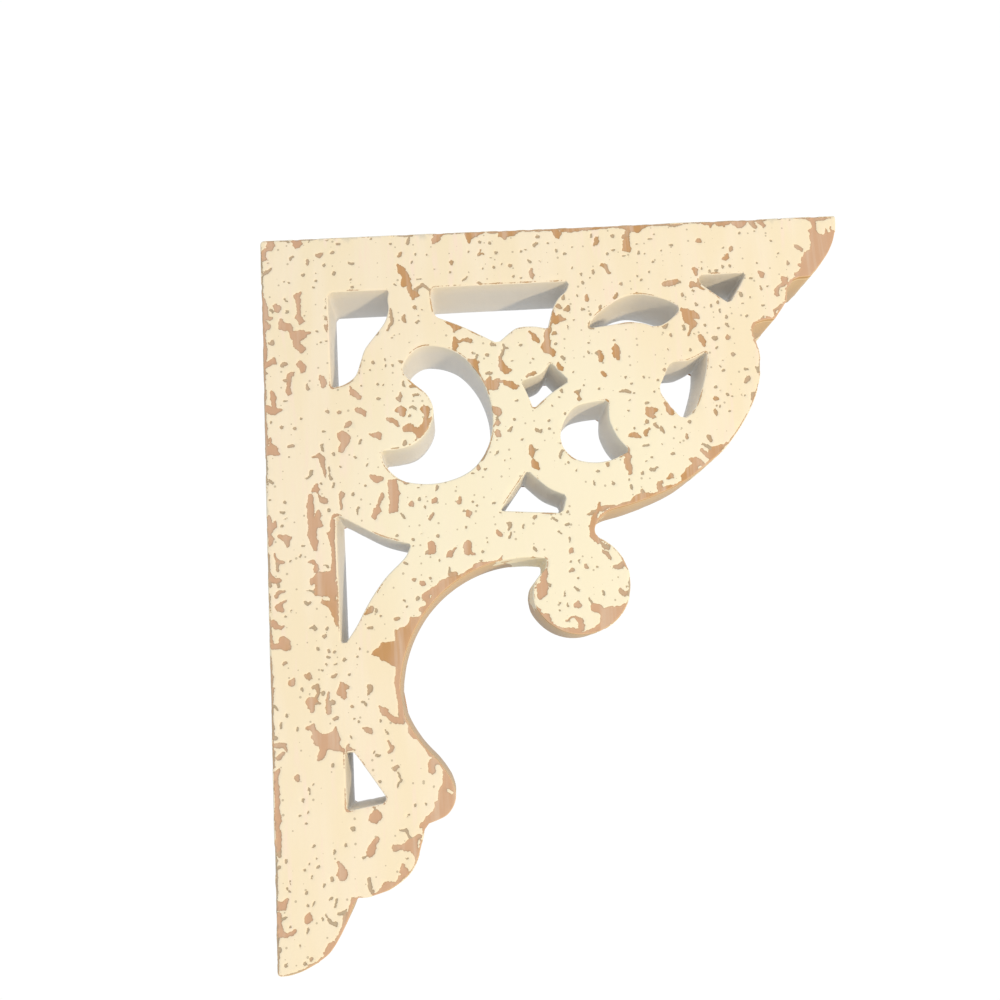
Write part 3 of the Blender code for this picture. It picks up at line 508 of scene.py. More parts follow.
# %% [markdown]
# The small marks are mostly round, where a knot of dust or a bubble let go. The larger
# ones have places of their own, and the rest are scattered.

# %% Small flecks on the front
FLECKS = (
    (29.4, .8, 1, .9), (34.7, 3, 1.8, 1.4), (32, 7.2, 1.8, 1.4), (27.5, 13, 1.2, 1.4),
    (40, 12.6, 2.4, 1.3), (3, 10.8, 1.2, .9), (18.5, 16.8, 1.2, 1.4), (31.8, 17, 1.2, 1.8),
    (24.4, 16.7, .8, 1), (24.2, 20, 1.2, 1), (10, 20, .9, .5), (12.3, 20.7, 1.2, .9),
    (39.3, 20.2, 1.2, .9), (39.7, 23.7, 1.5, 1), (43.6, 22.8, 1.1, .8), (23.1, 22.9, 1.1, .9),
    (49.2, 1, 1, 1), (11.3, 34, 1, 1.6), (26.6, 36.9, .9, .8), (27.9, 48.4, 1.3, 1.2),
    (25.1, 49.1, 1.2, .9), (18.6, 35.6, 1, .8), (23.6, 43.7, 1, 1), (47.2, 59.3, 1.4, 1.4),
    (11, 94.6, 2.6, 1.6), (7.4, 86, 1.4, 1.6), (12.8, 86.8, 1.4, 1.4), (3, 84, 1, 1.2), (15.6, 83, 1, .8),
    (9.2, 74.2, 1.4, .9), (26.8, 80.3, 1.8, 1.5), (31.8, 81, 2, 1.7), (25.4, 89.1, 1.4, 1),
    (10.2, 99.8, .8, .8), (29.3, 99.4, 1.2, 1.8), (37.5, 67, 1.6, .8), (41.5, 69.2, 1, .9),
    (23.1, 111.6, 1.2, .9), (36.7, 117.2, 1.2, 1.6), (7.8, 119.2, 1.4, 1.2), (1.6, 117.2, 1.2, .9),
    (7, 123.3, 2, .9), (25.9, 123.2, 1, 1.6), (38.3, 101.2, 1.4, 1.2), (31.7, 105, .9, .9),
    (43, 104.6, .8, 1.2), (41.8, 114, 1.2, 1.2), (49.2, 75.5, 1.4, 1.3), (48.9, 69, 1, 1.5),
    (51.2, 69.7, 1, .6), (46, 62.7, 1, 1), (53, 58.2, .9, .9), (53, 60.6, 1, 1.4), (55.7, 61.3, .9, 1.6),
    (59.3, 59.5, 2, 1.4), (62, 84.3, 1.4, 1.3), (97.4, 58.6, 2, 1.4), (91, 57.3, .9, .8),
    (108.3, 61.8, 1.2, .8), (117.2, 61.8, 1, 1.2), (108.8, 80, 1.2, .8), (107, 88, 1.2, 1.2),
    (110, 97.2, 1.6, 1.1), (101.8, 106.2, 1, .9), (104.3, 105.7, .7, .7), (93.4, 109.5, 1.6, .9),
    (87.9, 111.3, 1.3, .8), (59.4, 113.2, 2, 1.6), (98.6, 97.3, .8, .6), (63.8, 116, 1.2, .6),
    (65.4, 114.4, 1, .6), (80.7, 116.6, .8, .8), (68.5, 9.8, 1, 1), (73.5, 10, 1, 1),
    (66.3, 13.2, 1, 1.4), (57.5, 4, 1.3, .9), (69.2, 21.5, 1.8, .8), (58.2, 23.8, 1.2, .8),
    (84.3, 14.4, 1.8, 2), (83, 18.9, 1.1, 1.4), (76.8, 17.2, 1, .8), (91.7, 9.6, 1.2, 1.1),
    (97.4, 5, 1, 1.4), (102, 6, 1.1, 1.4), (104.4, 10.6, 1.2, 1.6), (102.8, 17.7, 1.4, 1.3),
    (97.8, 17.7, 1, 1), (106.4, 16.2, 1, 1), (110.4, 17.4, 2, 1.6), (111.8, 22.3, 1.2, 1.3),
    (101.8, 12.6, .8, .6), (104.2, 25.4, 1.6, .8), (85, 25.4, .8, .8), (81.5, 25.6, 1.2, .5),
    (100, 53.7, 2.8, 1.3), (67, 35.2, 1.8, 1.7), (69.9, 36.1, 1, .8), (68.1, 38.2, 1, .8),
    (57.3, 47.3, .8, .6), (56, 48.5, 1.2, 1), (63.5, 50.6, 1.2, .6), (108, 48.8, 1.8, .9),
    (123.9, 4.2, 2, 1.4), (128.4, 7.2, 1, 1), (115.4, 10.9, 1.2, .9), (117.5, 9.9, 1.6, .7),
    (131.6, 11, 1, 1.6), (135, 12.9, 1.6, .7), (138.7, 9.6, .9, 1), (119.4, 15.4, 1.6, 1),
    (123.7, 15.6, .7, .7), (114.7, 23, .8, 1), (138, 19.6, 1.2, 1.2), (141.7, 22.8, 1, 1.8),
    (142.3, 27, 1.2, 1.9), (145.7, 25, .9, .9), (147.2, 22, 1.4, 2), (157.5, 5, 1.3, 1.8),
    (157.2, 11.8, 1.3, 1), (154.8, 13.4, 1, 1.4), (158.8, .8, 1.4, .8), (161.7, 14.8, 1.3, .8),
    (164.2, 15.8, .7, .7), (168.6, 13.8, .9, 2), (168.8, 9.3, 1.4, .6), (171.3, 14.1, .9, .8),
    (179, 13.2, 1, 1), (174.6, 18.6, 1.3, 1.1), (172.7, 23.5, 1, 1.2), (168.3, 26.6, 1, .9),
    (166.9, 24.7, 1, .7), (176.4, 5.3, 1.2, .8), (174.4, 7.5, 1, 1), (159.3, 28.2, 1.6, 1.6),
    (139.4, 33, 1, 1.3), (141.2, 39.5, 1.3, 1.1), (144, 42.2, 1, 1.4), (128, 55, 1.2, 1.6),
    (112.3, 54.8, 1.6, 1), (134, 47.7, 1, 1.6), (137, 44.2, 1.6, .7), (142.5, 54.9, 1.4, 1.2),
    (141.8, 59.3, 1.2, 1.2), (153.9, 54.3, 1.3, 1.2), (179.5, 53.5, 1.5, 1.8), (184.1, 10.8, 1.4, .9),
    (211.3, 14.1, 1.9, 2.6), (207.7, 13.6, 1, 1), (196.5, 19.6, .7, .7), (222.8, 5.5, .8, 1.2),
    (230, 11, 1.1, 1.1), (232.8, 16.9, 1.2, .9), (216, 6.5, .8, 1.6), (196.6, 22.9, 1, 1.2),
    (206.2, 22.4, 1.3, 1.2), (209.5, 22.2, 1.3, 1.2), (200.3, 24.6, .8, 1.4), (203.2, 24.6, 1, 1.4),
    (222, 21.3, 1, .8), (191.4, 33.7, 1, 1.2), (186.7, 35, 1.5, 2), (218.7, 29, 1.8, 1),
    (225.6, 32.4, 1, 1), (216.9, 37.5, 1, .9), (213.2, 36, 1.2, 2), (202.5, 39.3, 1.5, 1.4),
    (192.6, 39.6, 1.2, 1.5), (198.6, 40.8, 1, 2.2), (213.2, 40.4, .9, .9), (222.3, 41.8, 1.5, .9),
    (202.4, 43.3, 1, 2.2), (205, 46.6, 1.2, 2), (214.8, 46.6, 1.1, 1.2), (195, 50, 1.2, 1.2),
    (201, 51.2, 1.3, 1), (190.3, 53.5, 1.2, .6), (185.3, 50.6, 1.2, 3), (198.9, 60.6, 1.1, 1.1),
    (187, 61, 1.2, 2), (177.7, 60.1, .9, .9), (206.5, 63.7, 1.8, 1.5), (201.3, 66.8, .8, .8),
    (199.6, 69.2, 1, 1), (201, 71, 1.2, 1.4), (211, 71.3, 2, .8), (165.6, 72.5, 1, 1.2),
    (171.8, 74, 1.3, 1.2), (159.8, 75, 1.4, 1), (169.5, 79.2, .8, 1), (160, 79.2, 1, 1),
    (196.5, 78.4, 1.2, 1.3), (198.6, 80.5, .9, .9), (196.4, 83.8, 2.2, 2), (201.8, 82.4, 1.2, 1.9),
    (203.8, 83, 1.2, .9), (207.9, 82.2, .9, .8), (209.6, 83, 1, .9), (195.9, 86.9, .8, .8),
    (197.6, 87.6, 1, 1.2), (201.8, 90.1, 1.3, .9), (183.4, 93.8, 1.3, 1.9), (177, 95.7, 1, .8),
    (166, 83.9, 2.6, 1.2), (164.8, 92.6, 2, 1.6), (158.8, 95, 1.4, 1.2), (163.3, 103.1, 3.2, 1),
    (170.4, 103.3, .9, .9), (178, 102.7, .8, .8), (174.6, 107.7, 1.6, 1.4), (165.6, 108.6, 1.2, 1),
    (162.5, 110.1, 1.3, .7), (160.5, 115.2, 1.2, 1.4), (156.8, 87.2, 1.2, 1.2), (157.8, 82.2, 1, .8),
    (145.2, 76.6, 1, 1), (157.2, 72.1, 1.2, .8), (139, 74.6, 1, 1), (134.4, 68.5, 1, .8),
    (127.2, 79.5, 1.8, 1), (124.2, 83.2, 1, .8), (122, 90.1, 1.4, 1.2), (122.1, 93.7, 1.2, 1.1),
    (118.6, 93.9, .8, 1.6), (125.8, 99.8, 1.6, 1.2), (129, 108.8, .8, 1.2), (132.2, 112.4, .9, 1.2),
    (141.2, 113.4, 1.3, 1), (147.8, 119.1, 1.4, 1.2), (139, 118.6, .8, 2.2), (151.4, 95, .8, 1.2),
    (149.2, 163.4, .8, .8), (113, 131.7, 1.8, 1.4), (127, 130.5, 1, 1.4), (126.1, 135.6, 2, .9),
    (129.1, 158.7, 1.2, 1.2), (126.5, 151.6, 1, 1), (137.5, 154.4, .8, .8), (146.2, 160, .8, 1),
    (120.5, 168.6, 1, .6), (123.7, 169.8, 1, 1.8), (120, 172.2, 1, .9), (116.6, 161, 1, 1.4),
    (64.3, 121, 1, 2), (67.4, 120.1, 1, .5), (66.9, 124.4, 1.2, 1.5), (71, 122, 2.4, 2.1),
    (86.6, 123.5, 1.3, .8), (88.5, 125.3, 1.2, .9), (95.8, 124.7, 1.8, .9), (98.3, 128.8, 1.2, .8),
    (54.1, 135.8, 1.2, 1), (61.1, 137.8, 1.2, 1.2), (64.4, 136.3, .7, 1), (71.4, 137, 1.7, 1.4),
    (83.6, 134.7, .8, 1.3), (60.8, 140.8, 1.2, .5), (91.8, 141.3, 1, .9), (89.7, 145.2, 1, 1.2),
    (71.3, 147.7, .9, .9), (57.2, 148, 1.6, 1.1), (88.8, 148.7, 1.2, 1.2), (60.3, 155.4, 1.9, 1.8),
    (67.3, 154.8, 1.3, 1.4), (61.2, 163.2, 1.2, 1.4), (55.8, 163.3, .9, 1.2), (56.4, 165.9, .9, 1),
    (43.9, 166.8, 1.2, 2.2), (45.7, 169.3, 1, 1.2), (44.8, 159, .9, 1.8), (8.3, 126, 2, .6),
    (6.7, 129, 1, 1.2), (14.6, 138.1, 1.2, 1.1), (13.5, 142, .8, 1.2), (9.6, 143.8, 1.2, .9),
    (9.6, 164.8, .6, 1.6), (7.4, 167.2, 1.4, 1), (23.7, 172.8, 1.2, 1.4), (22.4, 175.7, 2.2, 1.5),
    (19.7, 181, 1, 1.4), (24.3, 182.3, 1.4, 1.6), (26.8, 182.5, 1.4, 1.2), (24, 184.5, 2, 1),
    (30.4, 185.8, 1.2, 1.6), (35.4, 185.1, 1.2, 1), (36.6, 182.2, .9, .9), (23.4, 187.4, 1, 1),
    (27, 187.3, 1.4, .7), (21.4, 189.7, 1.3, .8), (31.9, 192, 1.3, 1), (12.9, 197.1, 1, 1.6),
    (21.2, 199, 1.2, 2), (33, 210, .9, .8), (34.7, 211.3, .8, 1.2), (32.5, 204.7, 2, 1.6),
    (6.5, 207.3, .8, 1.5), (10.4, 212.4, 1.1, 1.8), (31.6, 217.3, 1, 1.2), (43.6, 211.9, 1, 1),
    (40.5, 223.7, 1, .9), (15.8, 234.6, 1, 1), (12.1, 240.6, 1, 1.4), (23.8, 227.6, 1, 1.5),
    (10.7, 245.9, 1.3, .8), (13.9, 245.3, .8, .8), (12.8, 249.3, 1.2, .8), (40.1, 233.4, 1, 1.2),
    (42.7, 235.5, 1, 1), (53, 249, 1.4, 1), (60.3, 245.4, .9, 1.2), (56, 244.8, .8, 1.2),
    (31.1, 252.6, 1.2, 2), (28.1, 258.6, 1.2, 1.8), (15.5, 257.8, 1.1, 1), (23.5, 260.8, 1, 1.6),
    (5, 263, 1.3, 1.5), (2, 264.7, 1.2, 1.6), (11.7, 267, 1, 1), (6, 270.6, .6, 1.6),
    (12.4, 275.1, 1.4, 1.2), (14.3, 269.2, .7, 1.4), (18.9, 273.1, .8, 2), (17.1, 265.8, 1.2, 1),
    (16.5, 262.6, .8, 1), (13.5, 264.1, .8, .9), (22.2, 270.6, 1.4, 2.2), (18.2, 285, 1, 1.3),
    (21.6, 278, 1.4, 1.2), (12.1, 279.9, 1.4, .8), (14.9, 279, .8, 2), (5.5, 287.1, 1, 1),
    (9.3, 294.8, .7, 1.4), (1.2, 295.4, 1.2, 1.8), (13.1, 299, 1.6, 1.6), (10.7, 300.4, 1.2, 1.6),
    (3.6, 301, 1.2, 1.2), (17.1, 299.8, 1.6, 1), (52, 264.9, 1, .9),
)
print("flecks:", len(FLECKS))

# %% [markdown]
# One number for every point of the surface says how far it is, in millimetres, from the
# nearest edge of the paint: above zero on paint, below zero on bare wood. It is the
# smallest of the distances to all the marks, so marks that touch run together. The
# points are first pushed about by noise, so that no edge is a clean curve: paint lets go
# along a ragged line.

# %% Distances to the marks
REACH = 3.0      # marks further off than this, in mm, make no difference
RAGGED = ((2.4, 0.55), (1.0, 0.32))    # the size and the push, in mm, of each noise


def stroke_distance(points, stroke):
    """For each leg the distance to its nearest centre, less the half width found there.

    Distance is measured by a five-sided ruler, the furthest reach along any of five
    directions, so a mark has flat sides and corners like a flake and not round ends.
    """
    run = np.array(stroke, float).reshape(-1, 3)
    turns = 2.4 * run[0, :2].sum() + np.arange(5) * 2 * math.pi / 5
    ruler = np.array([np.cos(turns), np.sin(turns)]) * 0.96
    best = np.full(len(points), np.inf)
    for start, end in zip(run, run[1:] if len(run) > 1 else run):
        leg = end[:2] - start[:2]
        share = np.clip((points - start[:2]) @ leg / max(leg @ leg, 1e-9), 0.0, 1.0)
        away = ((points - start[:2] - share[:, None] * leg) @ ruler).max(axis=1)
        best = np.minimum(best, away - start[2] - share * (end[2] - start[2]))
    return best


def patch_distance(points, patch):
    """Distance to a closed outline, below zero where an odd number of sides is passed."""
    ring = np.array(patch, float).reshape(-1, 2)
    best = np.full(len(points), np.inf)
    inside = np.zeros(len(points), bool)
    for start, end in zip(ring, np.roll(ring, -1, axis=0)):
        side = end - start
        share = np.clip((points - start) @ side / max(side @ side, 1e-9), 0.0, 1.0)
        best = np.minimum(best, np.linalg.norm(points - start - share[:, None] * side, axis=1))
        spans = (points[:, 1] < start[1]) != (points[:, 1] < end[1])
        rise = side[1] if side[1] else 1e-9
        inside ^= spans & (points[:, 0] < start[0] + side[0] * (points[:, 1] - start[1]) / rise)
    return np.where(inside, -best, best)


def nearest(points, marks, measure, columns):
    """The smallest distance to any mark and that mark's girth, its greatest half width.

    Each mark is measured only from the points near it.
    """
    best = np.full(len(points), REACH)
    girth = np.zeros(len(points))
    for mark in marks:
        run = np.array(mark, float).reshape(-1, columns)
        widest = run[:, 2].max() if columns == 3 else REACH
        near = np.flatnonzero(((points > run[:, :2].min(axis=0) - REACH - widest)
                               & (points < run[:, :2].max(axis=0) + REACH + widest)).all(axis=1))
        found = measure(points[near], mark)
        closer = found < best[near]
        best[near[closer]] = found[closer]
        girth[near[closer]] = widest
    return best, girth


def on_sheet(points):
    """The marks' own coordinates, across and down, for points in x and z."""
    return np.column_stack([points[:, 0], high[2] * MM - points[:, 1]])


def closer_of(first, second):
    """Of two pairs of wear and girth, the pair with the smaller wear at each point."""
    closer = first[0] < second[0]
    return tuple(np.where(closer, one, other) for one, other in zip(first, second))


def as_stroke(fleck):
    """A fleck as a stroke: its lesser size is the width, and its greater the length."""
    across, down, width, height = fleck
    half = min(width, height) / 2
    dx, dd = width / 2 - half, height / 2 - half
    return (across - dx, down - dd, half, across + dx, down + dd, half)


def ragged(points, seed):
    """Push points about by noise of two sizes, the same way for points that are close."""
    pushed = points.copy()
    for number, (size, push) in enumerate(RAGGED):
        for axis in (0, 1):
            pushed[:, axis] += push * noise(points, size, seed + 2 * number + axis, kinked=True)
    return pushed


FRONT_MARKS = STROKES_TOP + STROKES_STILE + STROKES_SCROLL + tuple(map(as_stroke, FLECKS))


def front_wear(points):
    """Wear and girth on the front, at points in x and z."""
    sheet = ragged(on_sheet(points), 3)
    wear, girth = closer_of(nearest(sheet, FRONT_MARKS, stroke_distance, 3),
                            nearest(sheet, PATCHES, patch_distance, 2))
    return np.maximum(wear, -nearest(sheet, ISLANDS, stroke_distance, 3)[0]), girth


# %% [markdown]
# The back was painted and handled like the front, but nobody looks at it, so its wear is
# plainer: scattered marks from a seeded generator, of the same sizes as the front's.

# %% Marks on the back
BACK_STROKES = 95
BACK_FLECKS = 240


def scattered(count, smallest, largest, legs, seed):
    """Strokes at random places: each leg steps mostly up or down, and its width varies."""
    rng = np.random.default_rng(seed)
    extent = (high - low)[[0, 2]] * MM
    marks = []
    for place in rng.uniform((0.0, 0.0), extent, (count, 2)):
        steps = rng.normal(0.0, (0.5, 1.0), (legs, 2)) * largest
        widths = rng.uniform(smallest, largest, (legs, 1))
        marks.append(tuple(np.hstack([place + np.cumsum(steps, axis=0), widths]).ravel()))
    return marks


BACK_MARKS = (scattered(BACK_STROKES, 0.5, 1.9, 3, 11) + scattered(BACK_FLECKS, 0.35, 0.8, 1, 12))


def back_wear(points):
    """Wear and girth on the back, at points in x and z."""
    return nearest(ragged(on_sheet(points), 23), BACK_MARKS, stroke_distance, 3)


# %% [markdown]
# ## Wear round the arrises and on the sawn walls
# Paint is thinnest on a sharp edge and is knocked off there first. The bare line that
# this leaves wanders in width: noise along the edge sets it, and where it falls below
# zero the edge is still painted. A mark on the face that reaches the edge carries on
# round it and down the wall, so on a wall the depth from the face is added to the
# face's own distance.

# %% Edge and wall wear
EDGE_WIDTH = -0.08       # mean width of the bare line along an arris, in mm
EDGE_SWING = 0.75        # how much that width swings either way
EDGE_GIRTH = 1.4         # and the girth that the bare line counts as
FRONT_SEED = 31          # the noise of the front's bare line, and of the back's
BACK_SEED = 41
OVER_EDGE = 0.9          # how much a face's mark shrinks for each mm down a wall
KNOCK_LEVEL = 0.90       # noise above this leaves a bare spot on an outside wall
KNOCK_SLOPE = 4.0        # mm of wear for each unit of that noise
SAWN_BARE = (
    # where the sawn wall itself has no paint left: cove, knee, foot, drum, neck, step, ball
    (100, 149, 2, 86, 151, 6, 72, 158, 6, 60, 172, 6, 53, 190, 6, 53, 205, 6, 60, 221, 6, 70, 233, 6, 73,
     243, 6, 67, 250, 5, 59, 255, 4, 57, 263, 4), (31, 280, 3, 27, 289, 4, 20, 299, 3),
    (143, 131.5, 3, 154, 129, 4, 168, 125, 4, 180, 120, 4, 192, 112, 3), (138.5, 138, 4), (140, 134, 4),
    (246, 29, 3, 238, 31, 4, 235, 37, 4, 228, 48, 4, 218, 50, 4, 217, 56, 4), (48, 277, 3, 40, 279, 3),
    (110.6, 171, 2, 116, 178.6, 3, 123, 182.4, 3.2, 131, 183.2, 3, 138, 181.4, 2),
)


def edge_band(points, away, seed):
    """Wear and girth of the bare line along an arris, for points that far from it."""
    swing = noise(points, 6.0, seed) * (0.6 + 0.4 * noise(points, 1.7, seed + 1))
    width = EDGE_WIDTH + EDGE_SWING * swing
    return away - width, np.full(len(points), EDGE_GIRTH)


def wall_wear(points, depth, outside):
    """Wear and girth on a wall, at points in x and z and a depth in mm.

    A wall that is outside, and not in an opening, also has knocks and bare saw cuts.
    """
    from_back = THICKNESS - depth
    front, back = front_wear(points), back_wear(points)
    found = closer_of((front[0] + OVER_EDGE * depth, front[1]),
                      (back[0] + OVER_EDGE * from_back, back[1]))
    found = closer_of(edge_band(points, depth, FRONT_SEED), found)
    found = closer_of(edge_band(points, from_back, BACK_SEED), found)
    if not outside:
        return found
    around = np.column_stack([points, depth])
    bumps = noise(around, 5.5, 51) + 0.35 * noise(around, 2.0, 52)
    knocks = np.clip(KNOCK_SLOPE * (KNOCK_LEVEL - bumps), -REACH, REACH)
    found = closer_of((knocks, np.ones(len(points))), found)
    bare, girth = nearest(on_sheet(points), SAWN_BARE, stroke_distance, 3)
    frayed = 5.0 * noise(around, 12.0, 53, kinked=True) + 3.5 * noise(around, 4.0, 54, kinked=True)
    return closer_of((bare + frayed, girth), found)


# %% [markdown]
# ## The walls
# A wall is a profile carried along a saw line. The profile starts flat on the front
# face, turns through a quarter circle for the arris, runs straight through the board
# and turns again at the back. Written as rows, each row is the whole line moved by one
# inset and one depth, so a wall is a grid: rows down the profile, columns along the line.

# %% The profile
WALL_DEPTHS = (1.3, 2.2, 3.4, 5.0, 7.5, 11.0, 16.0, 21.0, 25.5, 28.5, 30.4)
ARRIS_TURNS = np.radians((0.0, 30.0, 60.0, 90.0))

insets = ARRIS * (1 - np.sin(ARRIS_TURNS))
sinks = ARRIS * (1 - np.cos(ARRIS_TURNS))
plain = np.zeros(len(WALL_DEPTHS))
profile_inset = np.concatenate([insets, plain, insets[::-1]])
profile_depth = np.concatenate([sinks, WALL_DEPTHS, THICKNESS - sinks[::-1]])
turned = np.concatenate([ARRIS_TURNS, plain + math.pi / 2, math.pi - ARRIS_TURNS[::-1]])
ROWS = len(profile_depth)
print("profile rows:", ROWS)


def wall_grid(line, left, outside):
    """Places, inward directions, wear and girth of one wall, rows by columns."""
    wander = 0.10 * noise(line, 9.0, 61) + 0.05 * noise(line, 2.5, 62)
    flat = line[None] + left[None] * (profile_inset[:, None] + np.maximum(wander, 0.0))[:, :, None]
    depth = np.broadcast_to(profile_depth[:, None], flat.shape[:2])
    places = np.dstack([flat[:, :, 0], depth - HALF, flat[:, :, 1]])
    into = np.dstack([np.sin(turned)[:, None] * left[None, :, 0],
                      np.broadcast_to(np.cos(turned)[:, None], depth.shape),
                      np.sin(turned)[:, None] * left[None, :, 1]])
    points = np.broadcast_to(line[None], flat.shape).reshape(-1, 2)
    wear, girth = wall_wear(points, depth.reshape(-1), outside)
    return places, into, wear.reshape(depth.shape), girth.reshape(depth.shape)


grids = [wall_grid(saw_lines[i], lefts[i], i == 0) for i in range(len(saw_lines))]
print("wall quads:", sum(grid[0].shape[1] for grid in grids) * (ROWS - 1))

# %% [markdown]
# ## The two faces
# A face is flat, so what matters is where its points are: close together along the edge
# of every chip, where the surface steps down from the paint to the wood, and far apart
# on plain paint. Three hexagonal lattices of different pitch are laid over the board,
# each one kept only where it is needed, and a Delaunay triangulation joins them to the
# first row of every wall.

# %% Lattice points for a face
FINE = 0.62         # pitch along the edges of the front's chips, in mm
FINE_BACK = 1.5 * FINE    # and of the back's
MEDIUM = 1.3
COARSE = 2.6        # pitch on plain paint


def lattice(pitch, shift):
    """A hexagonal lattice over the board: every second row is moved by half a pitch.

    The whole lattice is moved by a share of its pitch, so that no two of them line up.
    """
    across = np.arange(low[0] * MM, high[0] * MM, pitch)
    up = np.arange(low[2] * MM, high[2] * MM, pitch * math.sqrt(0.75))
    x, z = np.meshgrid(across, up)
    x = x + 0.5 * pitch * (np.arange(len(up)) % 2)[:, None]
    return np.column_stack([x.ravel(), z.ravel()]) + shift * pitch


def inside_line(points, line):
    """True where an odd number of the line's sides is passed on the way out."""
    inside = np.zeros(len(points), bool)
    near = np.flatnonzero(((points > line.min(axis=0)) & (points < line.max(axis=0))).all(axis=1))
    x, z = points[near, 0][:, None], points[near, 1][:, None]
    ends = np.roll(line, -1, axis=0)
    odd = np.zeros(len(near), bool)
    for part in np.array_split(np.arange(len(line)), max(1, len(line) // 64)):
        x0, z0, x1, z1 = line[part, 0], line[part, 1], ends[part, 0], ends[part, 1]
        spans = (z < z0) != (z < z1)
        rise = np.where(z1 == z0, 1e-9, z1 - z0)
        odd ^= (spans & (x < x0 + (x1 - x0) * (z - z0) / rise)).sum(axis=1) % 2 == 1
    inside[near] = odd
    return inside


def in_wood(points):
    """Inside the outline and in none of the openings."""
    wood = inside_line(points, saw_lines[0])
    for line in saw_lines[1:]:
        wood &= ~inside_line(points, line)
    return wood


def to_edge(points, reach):
    """Distance to the nearest saw line, up to a reach, found among the line's points."""
    best = np.full(len(points), reach)
    for line in saw_lines:
        for part in np.array_split(line, max(1, len(line) // 24)):
            near = np.flatnonzero(((points > part.min(axis=0) - reach)
                                   & (points < part.max(axis=0) + reach)).all(axis=1))
            starts, sides = part[:-1], np.diff(part, axis=0)
            if not len(near) or not len(sides):
                continue
            apart = points[near][:, None] - starts[None]
            share = np.clip((apart * sides).sum(axis=2) / (sides ** 2).sum(axis=1), 0.0, 1.0)
            away = np.linalg.norm(apart - share[:, :, None] * sides[None], axis=2).min(axis=1)
            best[near] = np.minimum(best[near], away)
    return best


def face_wear(points, wear_of, seed):
    """A face's wear and girth, from its marks and the bare line, and how far the arris is."""
    away = to_edge(points, REACH)
    return *closer_of(edge_band(points, away, seed), wear_of(points)), away


def face_points(wear_of, seed, fine):
    """The lattice points that a face needs, with their wear and girth."""
    kept = []
    bands = ((fine, -1.0, 0.8), (MEDIUM, 0.8, 1.9), (COARSE, 1.9, REACH + 1.0))
    for number, (pitch, nearer, further) in enumerate(bands):
        points = lattice(pitch, 0.31 * number)
        points = points[in_wood(points)]
        wear, girth, away = face_wear(points, wear_of, seed)
        wanted = (np.abs(wear) > nearer) & (np.abs(wear) <= further) & (away > ARRIS + 0.45 * fine)
        kept.append((points[wanted], wear[wanted], girth[wanted]))
    return tuple(np.concatenate(column) for column in zip(*kept))


front_points, *front_values = face_points(front_wear, FRONT_SEED, FINE)
back_points, *back_values = face_points(back_wear, BACK_SEED, FINE_BACK)
print("points on the front", len(front_points), "and on the back", len(back_points))

# %% Join the faces to the walls
def number_rows(grids):
    """The vertex numbers of every wall, row by row, when the walls are stacked."""
    numbers, first = [], 0
    for _, _, wear, _ in grids:
        numbers.append(first + np.arange(wear.size).reshape(wear.shape))
        first += wear.size
    return numbers, first


def wall_faces(numbers):
    """Two triangles for every cell of a wall's grid, turned outwards."""
    after = np.roll(numbers, -1, axis=1)
    a, b, c, d = numbers[:-1], numbers[1:], after[1:], after[:-1]
    return np.vstack([np.stack([a, b, c], axis=2).reshape(-1, 3),
                      np.stack([a, c, d], axis=2).reshape(-1, 3)])


def fill_face(row, points, numbers, first):
    """Triangles over a face, from one row of every wall and the lattice points."""
    rims = [grid[0][row][:, [0, 2]] for grid in grids]
    rim_numbers = np.concatenate([number[row] for number in numbers])
    starts = np.cumsum([0] + [len(rim) for rim in rims])
    sides = []
    for start, rim in zip(starts, rims):
        ring = start + np.arange(len(rim))
        sides.append(np.column_stack([ring, np.roll(ring, -1)]))
    flat = np.vstack(rims + [points])
    sides = np.vstack(sides)
    made = delaunay_2d_cdt([Vector(p) for p in flat.tolist()], sides.tolist(), [], 0, 1e-5)
    source = np.array([origin[0] for origin in made[3]])
    faces = source[np.array(made[2])]
    middles = flat[faces].mean(axis=1)
    only_rim = (faces < starts[-1]).all(axis=1)
    keep = ~only_rim
    keep[only_rim] = in_wood(middles[only_rim])
    everywhere = np.concatenate([rim_numbers, first + np.arange(len(points))])
    return everywhere[faces[keep]]


numbers, wall_count = number_rows(grids)
front_faces = fill_face(0, front_points, numbers, wall_count)
back_faces = fill_face(ROWS - 1, back_points, numbers, wall_count + len(front_points))
faces = np.vstack([wall_faces(n) for n in numbers] + [front_faces, back_faces[:, ::-1]])
print("triangles: front", len(front_faces), "back", len(back_faces), "in all", len(faces))

# %% [markdown]
# ## The paint film
# Chalk paint goes on thick. Where it has flaked off, the wood lies a third of a
# millimetre lower, and that step is real geometry here: every vertex is pushed in along
# its own inward direction by a smooth step of its wear. The wear, and how far a point is
# through the board, are stored on the mesh as attributes for the material to read.

# %% Build the board
FILM = 0.30          # thickness of the paint, in mm
STEP_WIDTH = 0.55    # the step from paint to wood takes this much of the surface


def sunk(wear):
    """How deep the surface lies: zero on paint, the film's thickness on bare wood."""
    share = np.clip(0.5 - wear / STEP_WIDTH, 0.0, 1.0)
    return FILM * share * share * (3.0 - 2.0 * share)


def flat_part(points, values, side):
    """Places and inward directions of a face's own points, with their wear and girth."""
    places = np.column_stack([points[:, 0], np.full(len(points), side * HALF), points[:, 1]])
    return places, np.tile((0.0, -side, 0.0), (len(points), 1)), *values


